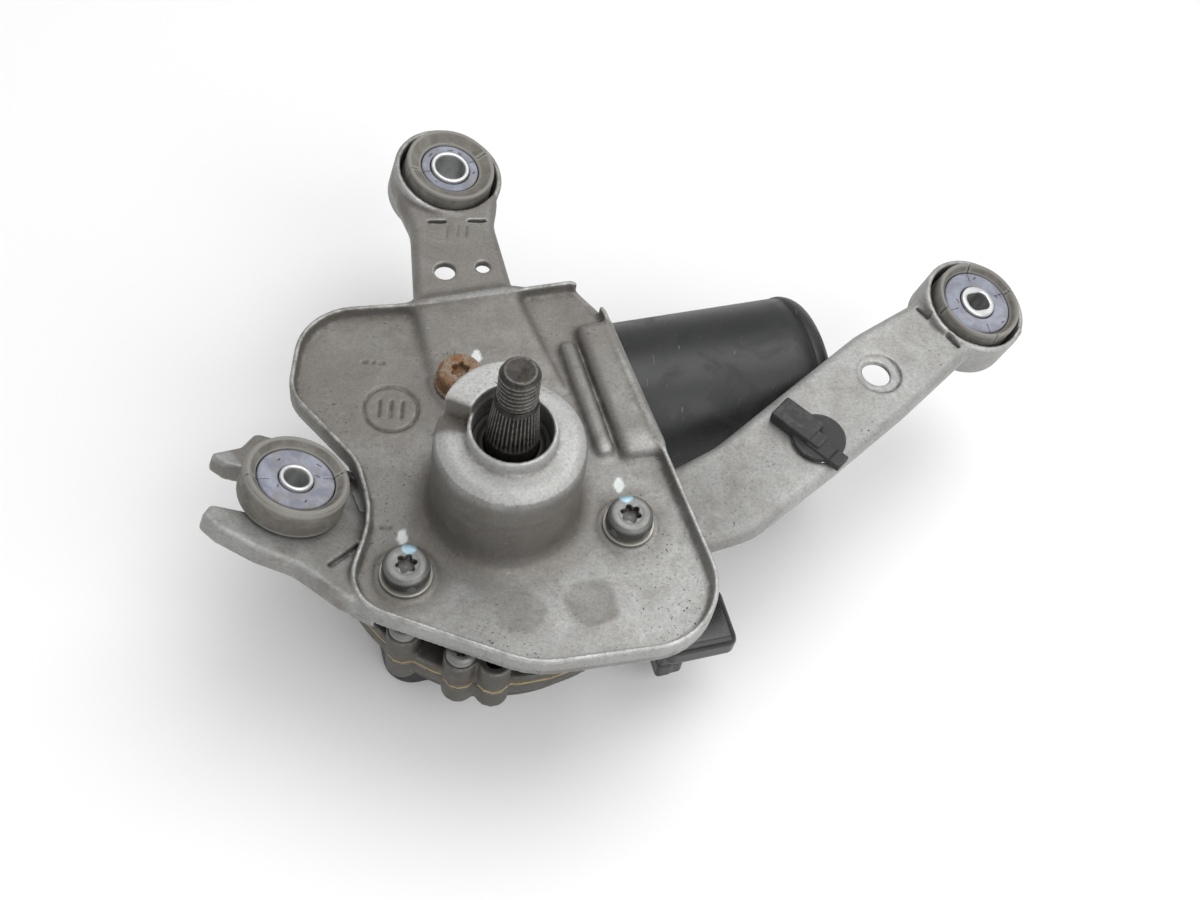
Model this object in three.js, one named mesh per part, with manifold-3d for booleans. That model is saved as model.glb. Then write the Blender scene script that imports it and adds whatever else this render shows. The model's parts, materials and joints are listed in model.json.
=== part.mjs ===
// Direct-drive windshield wiper motor on its cast mounting bracket, left-hand version.
// Units are millimetres. Z is the spindle axis and points out of the bracket's plate.
// The origin is the centre of the spindle's outer end face. Inside the assembly group,
// heights are counted from the floor of the bracket's dished plate.

import * as THREE from 'three';
import { mergeVertices } from 'three/addons/utils/BufferGeometryUtils.js';
import Module from 'manifold-3d';

const wasm = await Module();
wasm.setup();

// ---- driving dimensions ----

const GAP = 0.3; // space left between neighbouring pieces
const ARC_STEPS = 2; // half the number of chords on a rounded corner
const ROUND = 24; // chords on a large circle
const SMALL_ROUND = 12; // chords on a small circle
const SMALLEST_EDGE = 0.05; // shorter edges left by a cut are merged away

const SPINDLE_TIP = 58; // spindle end face above the plate floor
const SPINDLE_R = 6;
const THREAD_R = 5; // M10
const THREAD_DEPTH = 0.85;
const THREAD_PITCH = 1.5;
const THREAD_LENGTH = 11.5;
const KNURL_TOP = 46;
const KNURL_BASE = 33;
const KNURL_TEETH = 36;

const PLATE_T = 3;
const RIM_H = 4;
const RIM_W = 1.5;
const RIM_GAP = 10; // length of the top right corner that has no rim
const BOSS_TOP = 30; // flat annulus of the boss
const BOSS_R = 18.2;
const BORE_R = 9.9;
const COLLAR_R = 11; // thin collar around the bore
const COLLAR_TOP = 35;
const SECTOR_TOP = 38; // half-moon wall on the boss
const SECTOR_R = [11, 17];
const SECTOR_FROM = 80; // degrees
const SECTOR_TO = 158;

const ARM_TOP = -1; // top face of the right arm
const ARM_DEPTH = 7;
const ARM_WALL = 2.6;
const TOP_ARM_TOP = 3.4;
const WEDGE_FROM = 38; // the top arm's root fades into the floor here
const WEDGE_SLOPE = 0.142;
const ARM_WALLS_FROM = 46.5; // the arms' side walls stay this far from the spindle axis
const FORK_T = 6;
const FORK_GRIP_R = 10.2; // open seat in the fork
const FORK_MOUTH = 14.4;

const SCREWS = { left: [-23.4, -23], right: [32.3, -4.7], rear: [-13, 36.5] };
const SCREW_R = 2.9; // M6
const WASHER_R = 6.8;
const SEAT_H = 0.4; // raised seat under a bracket washer

const HOUSING_R = 43; // flange of the round gear housing about the spindle
const CUP_OUTER_R = 37.4; // the cup below the flange
const CUP_INNER_R = 35.3;
const LID_TOP = -14;
const LID_T = 3;
const FLANGE_BOTTOM = -22.5;
const HOUSING_FLOOR = -38.3;
const FLOOR_T = 2.2;
const PILLAR_R = 6.5;
const BOX_BOTTOM = -58; // electronics box under the cup, level with the motor can

const MODULE = 1.34;
const WHEEL_TEETH = 50;
const PRESSURE_ANGLE = THREE.MathUtils.degToRad(20);
const BACKLASH = 0.35;
const WHEEL_R = MODULE * WHEEL_TEETH / 2;
const WORM_R = 6.75;
const WORM_PITCH = Math.PI * MODULE;
const TOOTH_TIP = 1.2;
const TOOTH_ROOT = 1.5;
const WHEEL_FACE = 8;

const MOTOR_ANGLE = 16; // degrees from +X
const MOTOR_Z = -31;
const MOTOR_OFFSET = WHEEL_R + WORM_R; // between the spindle axis and the motor axis
const CAN_R = 27;
const CAN_WALL = 1.5;
const CAN_START = 40.8;
const CAN_END = 106;

// Each rubber mount: a point on its axis at plate height, and the axis.
const MOUNTS = {
  left: { at: [-54.6, -5.1, 0], axis: [0.25, 0.2, 0.947], face: 12.6, sleeveR: 4.3, holeR: 3.2, discR: 9.8 },
  top: { at: [-20.5, 108.9, 0], axis: [0.17, -0.03, 0.985], face: 8, sleeveR: 5.6, holeR: 4.4, discR: 8.3 },
  right: { at: [136, 78.2, 0], axis: [0.19, -0.06, 0.98], face: 2.6, sleeveR: 5.2, holeR: 3.8, discR: 9.1 },
};
const BUSH_R = 13.3; // rubber body
const BUSH_LIP_R = 12.7;
const BUSH_DEPTH = 17; // from its face to its back
const CUP_R = 15.9; // eye at the end of an arm
const CUP_BORE_R = 14.3;

// ---- materials ----

function finish(color, roughness, metalness) {
  return new THREE.MeshStandardMaterial({ color, roughness, metalness });
}

const castAluminium = finish(0x9a9690, 0.5, 0.85);
const housingAluminium = finish(0x8c8983, 0.55, 0.8);
const blackSteel = finish(0x2b2927, 0.45, 0.8);
const zincSteel = finish(0xa4a29d, 0.45, 0.85);
const rustySteel = finish(0x8a6a4c, 0.8, 0.4);
const plainSteel = finish(0xb5b5b5, 0.3, 0.95);
const canPaint = finish(0x1e1f21, 0.5, 0.2);
const brownRubber = finish(0x6d675e, 0.8, 0);
const lavenderDisc = finish(0x8e90a3, 0.7, 0);
const blackRubber = finish(0x191817, 0.75, 0);
const blackPlastic = finish(0x222325, 0.45, 0);
const paleGasket = finish(0xb8a468, 0.7, 0);
const acetal = finish(0xe4dfcf, 0.45, 0);
const copper = finish(0xb0673a, 0.35, 0.9);
const ferrite = finish(0x3b3b3e, 0.7, 0.1);
const bronze = finish(0x9b7a46, 0.5, 0.8);
const carbon = finish(0x26262a, 0.6, 0.2);
const boardGreen = finish(0x1f5a3a, 0.6, 0);
const brownCard = finish(0x5b3c22, 0.7, 0);

// ---- geometry helpers ----

function unitAngle(degrees) {
  const a = THREE.MathUtils.degToRad(degrees);
  return [Math.cos(a), Math.sin(a)];
}

function toSolid(geometry) {
  let plain = geometry.clone();
  plain.deleteAttribute('normal');
  plain.deleteAttribute('uv');
  plain = mergeVertices(plain, 1e-3);
  const vertProperties = new Float32Array(plain.attributes.position.array);
  const triVerts = new Uint32Array(plain.index.array);
  return new wasm.Manifold(new wasm.Mesh({ numProp: 3, vertProperties, triVerts }));
}

function toGeometry(solid) {
  const mesh = solid.asOriginal().simplify(SMALLEST_EDGE).getMesh();
  const geometry = new THREE.BufferGeometry();
  geometry.setAttribute('position', new THREE.BufferAttribute(mesh.vertProperties, 3));
  geometry.setIndex(new THREE.BufferAttribute(mesh.triVerts, 1));
  geometry.computeVertexNormals();
  return geometry;
}

function joined(first, ...others) {
  return others.reduce((sum, one) => sum.add(one), first);
}

function cutBy(body, ...tools) {
  return tools.reduce((rest, tool) => rest.subtract(tool), body);
}

// A closed counter-clockwise outline from corners [x, y, radius].
function outline(corners) {
  const shape = new THREE.Shape();
  const count = corners.length;
  corners.forEach(([x, y, radius = 0], i) => {
    const before = corners[(i + count - 1) % count];
    const after = corners[(i + 1) % count];
    const a = new THREE.Vector2(before[0] - x, before[1] - y).normalize();
    const b = new THREE.Vector2(after[0] - x, after[1] - y).normalize();
    if (radius === 0) {
      if (i === 0) shape.moveTo(x, y);
      else shape.lineTo(x, y);
      return;
    }
    const half = Math.acos(a.dot(b)) / 2;
    const reach = radius / Math.tan(half);
    const centre = a.clone().add(b).setLength(radius / Math.sin(half)).add(new THREE.Vector2(x, y));
    const start = Math.atan2(y + a.y * reach - centre.y, x + a.x * reach - centre.x);
    const end = Math.atan2(y + b.y * reach - centre.y, x + b.x * reach - centre.x);
    shape.absarc(centre.x, centre.y, radius, start, end, a.cross(b) > 0);
  });
  return shape;
}

// The same corners moved inwards.
function inset(corners, distance) {
  const count = corners.length;
  return corners.map(([x, y, radius = 0], i) => {
    const before = corners[(i + count - 1) % count];
    const after = corners[(i + 1) % count];
    const into = new THREE.Vector2(x - before[0], y - before[1]).normalize();
    const out = new THREE.Vector2(after[0] - x, after[1] - y).normalize();
    const left = new THREE.Vector2(-into.y, into.x).add(new THREE.Vector2(-out.y, out.x));
    const scale = distance * 2 / left.lengthSq();
    const newRadius = radius - Math.sign(into.cross(out)) * distance;
    return [x + left.x * scale, y + left.y * scale, Math.max(0, newRadius)];
  });
}

// A flat slab between two heights. A bevel rounds its edges.
function slab(shape, low, high, bevel = 0) {
  const geometry = new THREE.ExtrudeGeometry(shape, {
    depth: high - low - 2 * bevel,
    curveSegments: ARC_STEPS,
    bevelEnabled: bevel > 0,
    bevelThickness: bevel,
    bevelSize: bevel,
    bevelOffset: -bevel,
    bevelSegments: 1,
  });
  return geometry.translate(0, 0, low + bevel);
}

// A turned piece about Z from a closed profile of [radius, height].
function turned(profile, chords = ROUND) {
  const points = profile.map(([r, z]) => new THREE.Vector2(r, z));
  if (profile[0][0] > 0) points.push(points[0].clone());
  return new THREE.LatheGeometry(points, chords).rotateX(Math.PI / 2);
}

function rod(radius, low, high, chords = SMALL_ROUND) {
  return turned([[0, low], [radius, low], [radius, high], [0, high]], chords);
}

function ring(inner, outer, low, high, chords = ROUND) {
  return turned([[inner, low], [outer, low], [outer, high], [inner, high]], chords);
}

function block(x0, x1, y0, y1, z0, z1) {
  const box = new THREE.BoxGeometry(x1 - x0, y1 - y0, z1 - z0);
  return box.translate((x0 + x1) / 2, (y0 + y1) / 2, (z0 + z1) / 2);
}

// A solid about Z whose radius is a function of angle and height, for threads and teeth.
function carved(low, high, chords, rows, radiusAt) {
  const geometry = new THREE.CylinderGeometry(1, 1, high - low, chords, rows).rotateX(Math.PI / 2);
  geometry.translate(0, 0, (low + high) / 2);
  const places = geometry.attributes.position;
  for (let i = 0; i < places.count; i += 1) {
    const x = places.getX(i);
    const y = places.getY(i);
    if (Math.hypot(x, y) > 0.5) {
      const radius = radiusAt(Math.atan2(y, x), places.getZ(i));
      places.setXY(i, x * radius, y * radius);
    }
  }
  return geometry;
}

// The radius of a gear or worm tooth, at a phase counted in pitches from a tooth's middle.
function toothRadius(pitchR, phase) {
  const part = phase - Math.floor(phase);
  const along = Math.min(part, 1 - part) * WORM_PITCH;
  const rise = (WORM_PITCH / 4 - BACKLASH / 2 - along) / Math.tan(PRESSURE_ANGLE);
  return pitchR + THREE.MathUtils.clamp(rise, -TOOTH_ROOT, TOOTH_TIP);
}

// ---- assembly ----

const group = new THREE.Group();
const assembly = new THREE.Group();
assembly.position.z = -SPINDLE_TIP;
group.add(assembly);

// The motor frame: its Z is the motor axis, from the worm towards the can.
const yaw = new THREE.Group();
yaw.rotation.z = THREE.MathUtils.degToRad(MOTOR_ANGLE);
assembly.add(yaw);
const motor = new THREE.Group();
motor.position.set(0, MOTOR_OFFSET, MOTOR_Z);
motor.rotation.y = Math.PI / 2;
yaw.add(motor);

function add(name, shape, material, parent = assembly) {
  const geometry = shape.isBufferGeometry ? shape : toGeometry(shape);
  const mesh = new THREE.Mesh(geometry, material);
  mesh.name = name;
  parent.add(mesh);
  return mesh;
}

// Puts a geometry made in the motor frame into the assembly frame.
function fromMotor(geometry) {
  yaw.updateMatrix();
  motor.updateMatrix();
  return geometry.applyMatrix4(motor.matrix).applyMatrix4(yaw.matrix);
}

function mountMatrix({ at, axis }) {
  const up = new THREE.Vector3(...axis).normalize();
  const turn = new THREE.Quaternion().setFromUnitVectors(new THREE.Vector3(0, 0, 1), up);
  return new THREE.Matrix4().compose(new THREE.Vector3(...at), turn, new THREE.Vector3(1, 1, 1));
}

// ---- mounting bracket ----

const PLATE = [
  [26.4, 62.6, 4], [17.2, 72.4, 3], [-28, 60, 0], [-56.8, 54.8, 17], [-57.8, 27.5, 12], [-38.5, 7.5, 14],
  [-33.5, -8, 26], [-39, -32.5, 12], [9, -47.5, 26], [61.5, -36.5, 20],
];
const TOP_ARM = [
  [-26, 50, 0], [-26.8, 62, 6], [-29.5, 88, 14], [-35.6, 101.6, 4], [-21, 108, 0], [-5, 103, 4],
  [-6, 92, 14], [0.5, 68, 6], [1, 50, 0],
];
const TOP_WEDGE = [[-18, 37], [13.5, 37], [-1.5, 67.5], [-23, 62.5]];
const RIGHT_ARM = [
  [34, 8, 0], [56.5, 23, 24], [99, 64.8, 30], [119, 79.5, 14], [128, 92, 0], [150, 72, 0],
  [133, 62, 14], [111, 38.8, 0], [89.5, 18, 0], [66.5, -3, 20], [40, -14, 0],
];
// The fork's corners are in the frame of the left mount, whose axis leans.
const FORK = [
  [22, 14, 0], [12, 15, 6], [0, 20, 8], [-10.5, 20.5, 2], [-13.5, 14.5, 3], [-21.5, 9.6, 1.2],
  [-17.5, 7.4, 0], [-19, -7.4, 0], [-20.5, -11, 1.5], [-16, -14.5, 4], [-6, -18.5, 10],
  [4, -20.5, 10], [18, -29, 6], [26, -26, 0],
];
const FORK_ROOT = [[-30.4, 5, 0], [-33, 8, 2], [-32, -8, 0], [-37.4, -31, 3], [-30.4, -34, 0]];
const PAD = [[17.8, 57, 2.5], [31.2, 15.2, 2.5], [43, 18, 2.5], [27, 59.5, 2.5]];
const PAD_H = 3.8;
const RIDGE = [[13.4, 51.2, 2], [24.6, 15.4, 2], [28.8, 16.7, 2], [17.6, 52.5, 2]];
const RIDGE_H = 2.4;

// The plate with the arm and the fork that grow from its underside, dished from above.
function dishedPlate() {
  const body = joined(
    toSolid(slab(outline(PLATE), -PLATE_T, RIM_H)),
    toSolid(slab(outline(FORK_ROOT), -8, 0)),
    channel(RIGHT_ARM, ARM_TOP, ARM_DEPTH),
    fork(),
  );
  const corner = block(-RIM_GAP / 2, RIM_GAP / 2, -5, 6, SEAT_H, RIM_H + 1);
  corner.rotateZ(THREE.MathUtils.degToRad(-46));
  return cutBy(
    body,
    toSolid(slab(outline(inset(PLATE, RIM_W)), 0, RIM_H + 4)),
    toSolid(corner.translate(21.8, 67.5, 0)),
  );
}

// The top arm, and the wedge by which its back runs down into the plate's floor.
function topArm() {
  const wedge = toSolid(slab(outline(TOP_WEDGE), -1, TOP_ARM_TOP));
  const both = channel(TOP_ARM, TOP_ARM_TOP, ARM_DEPTH + 1).add(wedge);
  return both.trimByPlane([0, WEDGE_SLOPE, -1], WEDGE_SLOPE * WEDGE_FROM);
}

function fork() {
  const half = FORK_T / 2;
  const place = mountMatrix(MOUNTS.left);
  const mouth = block(-30, 0, -FORK_MOUTH / 2, FORK_MOUTH / 2, -half - 1, half + 1);
  const window = block(-6, 6, -1.2, 1.2, -half - 1, half + 1).rotateZ(THREE.MathUtils.degToRad(-68));
  const groove = block(-6, 6, -0.6, 0.6, half - 1.4, half + 1).rotateZ(THREE.MathUtils.degToRad(50));
  return cutBy(
    toSolid(slab(outline(FORK), -half, half, 0.9)),
    toSolid(rod(FORK_GRIP_R, -half - 1, half + 1, ROUND)),
    toSolid(mouth),
    toSolid(window.translate(17.6, 6.5, 0)),
    toSolid(groove.translate(15.4, -14.5, 0)),
  ).transform(place.toArray());
}

function boss() {
  const foot = 4.2; // radius of the fillet into the plate
  const edge = 3; // rounding of the top edge
  const profile = [[0, -PLATE_T], [BOSS_R + foot, -PLATE_T], [BOSS_R + foot, 0]];
  for (const t of [30, 60]) {
    const [c, s] = unitAngle(t);
    profile.push([BOSS_R + foot - foot * s, foot - foot * c]);
  }
  profile.push([BOSS_R, foot + 2]);
  for (const t of [0, 30, 60, 90]) {
    const [c, s] = unitAngle(t);
    profile.push([BOSS_R - edge * 1.3 + (edge * c), BOSS_TOP - edge + edge * s]);
  }
  profile.push([0, BOSS_TOP]);
  const collar = toSolid(rod(COLLAR_R, BOSS_TOP - 1, COLLAR_TOP, ROUND));
  return joined(toSolid(turned(profile)), collar, toSolid(slab(sector(), BOSS_TOP - 1, SECTOR_TOP)));
}

function sector() {
  const [inner, outer] = SECTOR_R;
  const from = THREE.MathUtils.degToRad(SECTOR_FROM);
  const to = THREE.MathUtils.degToRad(SECTOR_TO);
  const shape = new THREE.Shape();
  shape.absarc(0, 0, outer, from, to, false);
  shape.absarc(0, 0, inner - 0.6, to, from, true);
  return shape;
}

// A channel open at its underside. The corners run clockwise.
function channel(corners, top, depth) {
  return cutBy(
    toSolid(slab(outline(corners), top - depth, top, 1.2)),
    toSolid(slab(outline(inset(corners, -ARM_WALL)), top - depth - 1, top - ARM_WALL)),
    disc(ARM_WALLS_FROM, top - depth - 1, -PLATE_T),
  );
}

const CUP_BELOW_FACE = 16.2; // underside of an eye below its bushing's face

function eyeCup(mount, top) {
  return toSolid(rod(CUP_R, mount.face - CUP_BELOW_FACE, top, ROUND)).transform(mountMatrix(mount).toArray());
}

function eyeBore(mount, top) {
  const low = mount.face - CUP_BELOW_FACE;
  const lip = 2;
  const bore = turned([
    [0, low - 1], [BUSH_R - 3, low - 1], [BUSH_R - 3, low + lip], [CUP_BORE_R, low + lip],
    [CUP_BORE_R, top + 8], [0, top + 8],
  ]);
  return toSolid(bore).transform(mountMatrix(mount).toArray());
}

function pit(x, y, radius, low, high) {
  return toSolid(rod(radius, low, high).translate(x, y, 0));
}

function slot(x, y, length, width, degrees, low, high) {
  const box = block(-length / 2, length / 2, -width / 2, width / 2, low, high);
  box.rotateZ(THREE.MathUtils.degToRad(degrees));
  return toSolid(box.translate(x, y, 0));
}

function mountingBracket() {
  const CUP_TOP = 4.6;
  const RIGHT_CUP_TOP = 1.2;
  const through = [-20, 20];
  const counterbore = rod(6.8, 0, 20).rotateY(THREE.MathUtils.degToRad(4));
  const body = joined(
    dishedPlate(),
    topArm(),
    toSolid(slab(outline(PAD), -1, PAD_H, 1)),
    toSolid(slab(outline(RIDGE), -1, RIDGE_H, 0.8)),
    boss(),
    eyeCup(MOUNTS.top, CUP_TOP),
    eyeCup(MOUNTS.right, RIGHT_CUP_TOP),
    ...Object.values(SCREWS).map(([x, y]) => pit(x, y, WASHER_R + 1, -PLATE_T, SEAT_H)),
  );
  return cutBy(
    body,
    toSolid(rod(BORE_R, -PLATE_T - 1, SECTOR_TOP + 1, ROUND)),
    eyeBore(MOUNTS.top, CUP_TOP),
    eyeBore(MOUNTS.right, RIGHT_CUP_TOP),
    ...Object.values(SCREWS).map(([x, y]) => pit(x, y, SCREW_R + GAP, ...through)),
    pit(-18.9, 72.5, 2.9, ...through),
    pit(-8.4, 75, 1.95, ...through),
    slot(-22.1, 90.2, 5.4, 1.1, 7, ...through),
    slot(-10.8, 91.7, 5.4, 1.1, 7, ...through),
    pit(103.9, 51.3, 4.1, ...through),
    toSolid(counterbore.translate(104.3, 51, ARM_TOP - 0.5)),
    pit(85, 26.8, 7, ...through),
    slot(119.8, 73.9, 5.4, 1.1, -50, ARM_TOP - ARM_WALL - 1, 20),
    slot(127.6, 64.4, 5.4, 1.1, -50, ARM_TOP - ARM_WALL - 1, 20),
    toSolid(fromMotor(rod(CAN_R + 0.8, CAN_START - 3, CAN_END + 6, 32))),
  );
}

// ---- fasteners of the bracket ----

function torxScrew() {
  const headTop = 5;
  const recess = new THREE.Shape();
  const lobes = 6;
  for (let i = 0; i < lobes * 2; i += 1) {
    const [c, s] = unitAngle(i * 180 / lobes);
    const radius = i % 2 === 0 ? 2.6 : 1.85;
    if (i === 0) recess.moveTo(c * radius, s * radius);
    else recess.lineTo(c * radius, s * radius);
  }
  const body = turned([
    [0, -19.5], [SCREW_R, -19.5], [SCREW_R, GAP], [6, GAP], [6.1, 2.2], [5.5, headTop - 1],
    [4.4, headTop], [0, headTop],
  ], SMALL_ROUND);
  return toSolid(body).subtract(toSolid(slab(recess, headTop - 2.6, headTop + 1)));
}

function addBracketScrews() {
  const washerTop = 1.6;
  for (const [name, [x, y]] of Object.entries(SCREWS)) {
    const rusty = name === 'rear';
    const washer = ring(SCREW_R + GAP, WASHER_R, SEAT_H + GAP, washerTop, SMALL_ROUND);
    add(`washer_${name}`, washer, rusty ? rustySteel : zincSteel).position.set(x, y, 0);
    const screw = add(`torx_screw_${name}`, torxScrew(), rusty ? rustySteel : zincSteel);
    screw.position.set(x, y, washerTop);
  }
}

// ---- rubber mounts ----

function rubberBushing({ face, sleeveR, discR }, held) {
  const back = face - BUSH_DEPTH;
  const foot = 9.6; // radius at the back end
  const waist = held ? BUSH_R : foot; // the fork grips a groove
  const wall = held ? BUSH_R - 0.3 : BUSH_R + 0.2;
  const seat = discR + GAP;
  return turned([
    [sleeveR + GAP, back], [foot, back], [foot, held ? back + 3 : back + 1],
    [waist, held ? back + 4 : back + 1], [waist, held ? face - 6 : face - 9.2],
    [wall, held ? face - 5.2 : face - 9.2], [wall, face - 0.8], [BUSH_LIP_R, face],
    [BUSH_LIP_R - 0.5, face], [seat, face - 1.8], [seat, face - 4.2], [sleeveR + GAP, face - 4.2],
  ], 20);
}

function addRubberMount(name, mount) {
  const holder = new THREE.Group();
  mountMatrix(mount).decompose(holder.position, holder.quaternion, holder.scale);
  assembly.add(holder);
  const { face, sleeveR, holeR, discR } = mount;
  const held = name !== 'left';
  add(`bushing_${name}`, rubberBushing(mount, held), brownRubber, holder);
  const discTop = face - 1.9;
  add(`bushing_disc_${name}`, ring(sleeveR + GAP, discR, discTop - 2, discTop, 20), lavenderDisc, holder);
  add(`sleeve_${name}`, ring(holeR, sleeveR, face - BUSH_DEPTH - 1, face - 1.2, 16), zincSteel, holder);
}

// ---- cable clip on the right arm ----

function cableClip() {
  const top = ARM_TOP + 4.2;
  const base = ARM_TOP + GAP;
  const tread = block(-4.8, 3, 0.8, 13.6, base, top);
  const passage = block(-3.4, 1.6, 0, 14, base + 1, top - 1.2);
  const tail = block(-5, -0.2, -10, 1.2, base, base + 2.4);
  const stem = rod(3, ARM_TOP - 9, base + 1);
  const plug = rod(6.6, base, base + 1.6, ROUND);
  return joined(
    cutBy(toSolid(tread), toSolid(passage)),
    toSolid(tail),
    toSolid(stem),
    cutBy(toSolid(plug), toSolid(passage)),
  );
}

function addCableClip() {
  const clip = add('cable_clip', cableClip(), blackPlastic);
  clip.position.set(85, 26.8, 0);
  clip.rotation.z = THREE.MathUtils.degToRad(50);
}

// ---- gear housing ----

const NECK_R = 9.5;
const NECK_BORE_R = 7.6;
const NECK_TOP = 22;
const TUNNEL_R = 10;
const TUNNEL_BORE_R = 8.4;
const TUNNEL_FROM = -32;
const FLANGE = [37, 40.5];
const LUG_AT = 41;
const LUG_R = 4.4;
const LUG_TOP = -7.5;
const SCREWED_LUGS = [150, 236, 258, 335]; // degrees about the spindle
const HOLLOW_LUG = 270;
const MOTOR_SCREW_AT = 21.5; // from the motor axis
const LID_BOTTOM = LID_TOP - LID_T;
const CUP_RIM = LID_BOTTOM - 1.1;

function yawMatrix() {
  yaw.updateMatrix();
  return yaw.matrix;
}

function tunnelBlock(low, high) {
  const side = TUNNEL_R + 2;
  const box = block(TUNNEL_FROM, FLANGE[0] + 1, MOTOR_OFFSET - side, MOTOR_OFFSET + side, low, high);
  return toSolid(box.applyMatrix4(yawMatrix()));
}

function disc(radius, low, high) {
  return toSolid(rod(radius, low, high, 36));
}

function lugCentre(degrees) {
  const [c, s] = unitAngle(degrees);
  return [c * LUG_AT, s * LUG_AT];
}

function lugs(radius, low, high) {
  return [...SCREWED_LUGS, HOLLOW_LUG].map((degrees) => pit(...lugCentre(degrees), radius, low, high));
}

function motorScrewHoles(low, high) {
  return [-1, 1].map((side) => rod(2.3, low, high).translate(side * MOTOR_SCREW_AT, 0, 0));
}

// The space that the motor's flange and can take up.
function motorSide() {
  return toSolid(fromMotor(rod(CAN_R + 0.5, FLANGE[0] - GAP, CAN_END, 32)));
}

function gearHousingTop() {
  const root = turned([
    [0, LID_BOTTOM], [NECK_R + 5, LID_BOTTOM], [NECK_R + 5, LID_TOP], [NECK_R, LID_TOP + 7], [0, LID_TOP + 7],
  ]);
  const lid = joined(
    disc(HOUSING_R, LID_BOTTOM, LID_TOP),
    tunnelBlock(LID_BOTTOM, LID_TOP),
    ...lugs(LUG_R, LID_BOTTOM, LUG_TOP),
    toSolid(rod(NECK_R, LID_BOTTOM, NECK_TOP, ROUND)),
    toSolid(root),
    ...Object.values(SCREWS).map(([x, y]) => pit(x, y, PILLAR_R, LID_BOTTOM, -PLATE_T - GAP)),
  );
  return cutBy(
    lid,
    motorSide(),
    toSolid(rod(NECK_BORE_R, LID_BOTTOM - 1, NECK_TOP + 1, ROUND)),
    ...lugs(2.3, LID_BOTTOM - 1, LUG_TOP + 2),
    ...Object.values(SCREWS).map(([x, y]) => pit(x, y, SCREW_R + GAP, LID_BOTTOM - 1, 0)),
  );
}

function housingGasket() {
  const high = LID_BOTTOM - 0.1;
  const low = high - 0.9;
  return cutBy(
    joined(disc(HOUSING_R, low, high), ...lugs(LUG_R, low, high)),
    motorSide(),
    disc(CUP_INNER_R + 2, low - 1, high + 1),
    ...lugs(2.3, low - 1, high + 1),
    tunnelBlock(low - 1, high + 1),
  );
}

function gearHousing() {
  const cup = turned([
    [0, HOUSING_FLOOR], [CUP_OUTER_R - 3, HOUSING_FLOOR], [CUP_OUTER_R, HOUSING_FLOOR + 3],
    [CUP_OUTER_R, CUP_RIM], [0, CUP_RIM],
  ], 36);
  const body = joined(
    toSolid(cup),
    disc(HOUSING_R, FLANGE_BOTTOM, CUP_RIM),
    tunnelBlock(MOTOR_Z, CUP_RIM),
    toSolid(fromMotor(rod(TUNNEL_R, TUNNEL_FROM, FLANGE[0] + 1, 24))),
    toSolid(fromMotor(rod(CAN_R - 0.3, ...FLANGE, 32))),
    ...lugs(LUG_R, CUP_RIM - 8, CUP_RIM),
  );
  return cutBy(
    body,
    disc(CUP_INNER_R, HOUSING_FLOOR + FLOOR_T, CUP_RIM + 1),
    toSolid(fromMotor(rod(TUNNEL_BORE_R, TUNNEL_FROM + 2, FLANGE[1] + 1, 24))),
    toSolid(fromMotor(rod(9.3, 27, FLANGE[1] + 1, 24))),
    toSolid(rod(7, HOUSING_FLOOR - 1, HOUSING_FLOOR + FLOOR_T + 1).translate(0, -18, 0)),
    ...lugs(2.3, CUP_RIM - 6, CUP_RIM + 1),
    ...motorScrewHoles(FLANGE[0] - 1, FLANGE[1] + 1).map((hole) => toSolid(fromMotor(hole))),
  );
}

function addHousingScrews() {
  SCREWED_LUGS.forEach((degrees, i) => {
    const [x, y] = lugCentre(degrees);
    const screw = turned([
      [0, -15], [2, -15], [2, 0], [3.8, 0], [3.8, 1.4], [3, 2.2], [0, 2.2],
    ], 12);
    add(`housing_screw_${i + 1}`, screw, zincSteel).position.set(x, y, LUG_TOP + GAP);
  });
}

// In the motor's yaw frame: the shroud stands beside the cup, on a neck from the box's end wall.
const CONNECTOR = { from: 38.5, to: 58.7, side: [-38.2, -21], low: -38.5, high: -29.5 };
const NECK = { to: 46, side: [-16, -8], low: -50, high: -43 };
const BOX = [[-33, -19, 8], [34, -19, 8], [34, 11, 4], [26, 22, 6], [-33, 22, 8]];

function electronicsBox() {
  const wall = 2;
  const top = HOUSING_FLOOR - GAP;
  const { side, low, high } = NECK;
  return cutBy(
    toSolid(slab(outline(BOX), BOX_BOTTOM, top, 1.5)),
    toSolid(slab(outline(inset(BOX, wall)), BOX_BOTTOM + wall, top + 1)),
    toSolid(block(28, 36, side[0] - GAP, side[1] + GAP, low - GAP, high + GAP)),
  );
}

function addConnector() {
  const wall = 1.6;
  const { from, to, side, low, high } = CONNECTOR;
  const outside = block(from, to, ...side, low, high);
  const inside = block(from + 4, to + 1, side[0] + wall, side[1] - wall, low + wall, high - wall);
  const housing = cutBy(
    joined(
      toSolid(outside),
      toSolid(block(29, NECK.to, ...NECK.side, NECK.low, NECK.high)),
      toSolid(block(from, NECK.to, side[0] + 3, NECK.side[1], NECK.low, NECK.high)),
      toSolid(block(from, from + 4, side[0] + 3, side[1], NECK.low, high - wall)),
    ),
    toSolid(inside),
  );
  add('connector_housing', housing, blackPlastic, yaw);
  [-34, -29.6, -25.2].forEach((y, i) => {
    const pin = block(from + 4 + GAP, from + 10.5, y - 1.2, y + 1.2, -34.6, -33.4);
    add(`connector_pin_${i + 1}`, pin, plainSteel, yaw);
  });
}

// ---- spindle group ----

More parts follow.
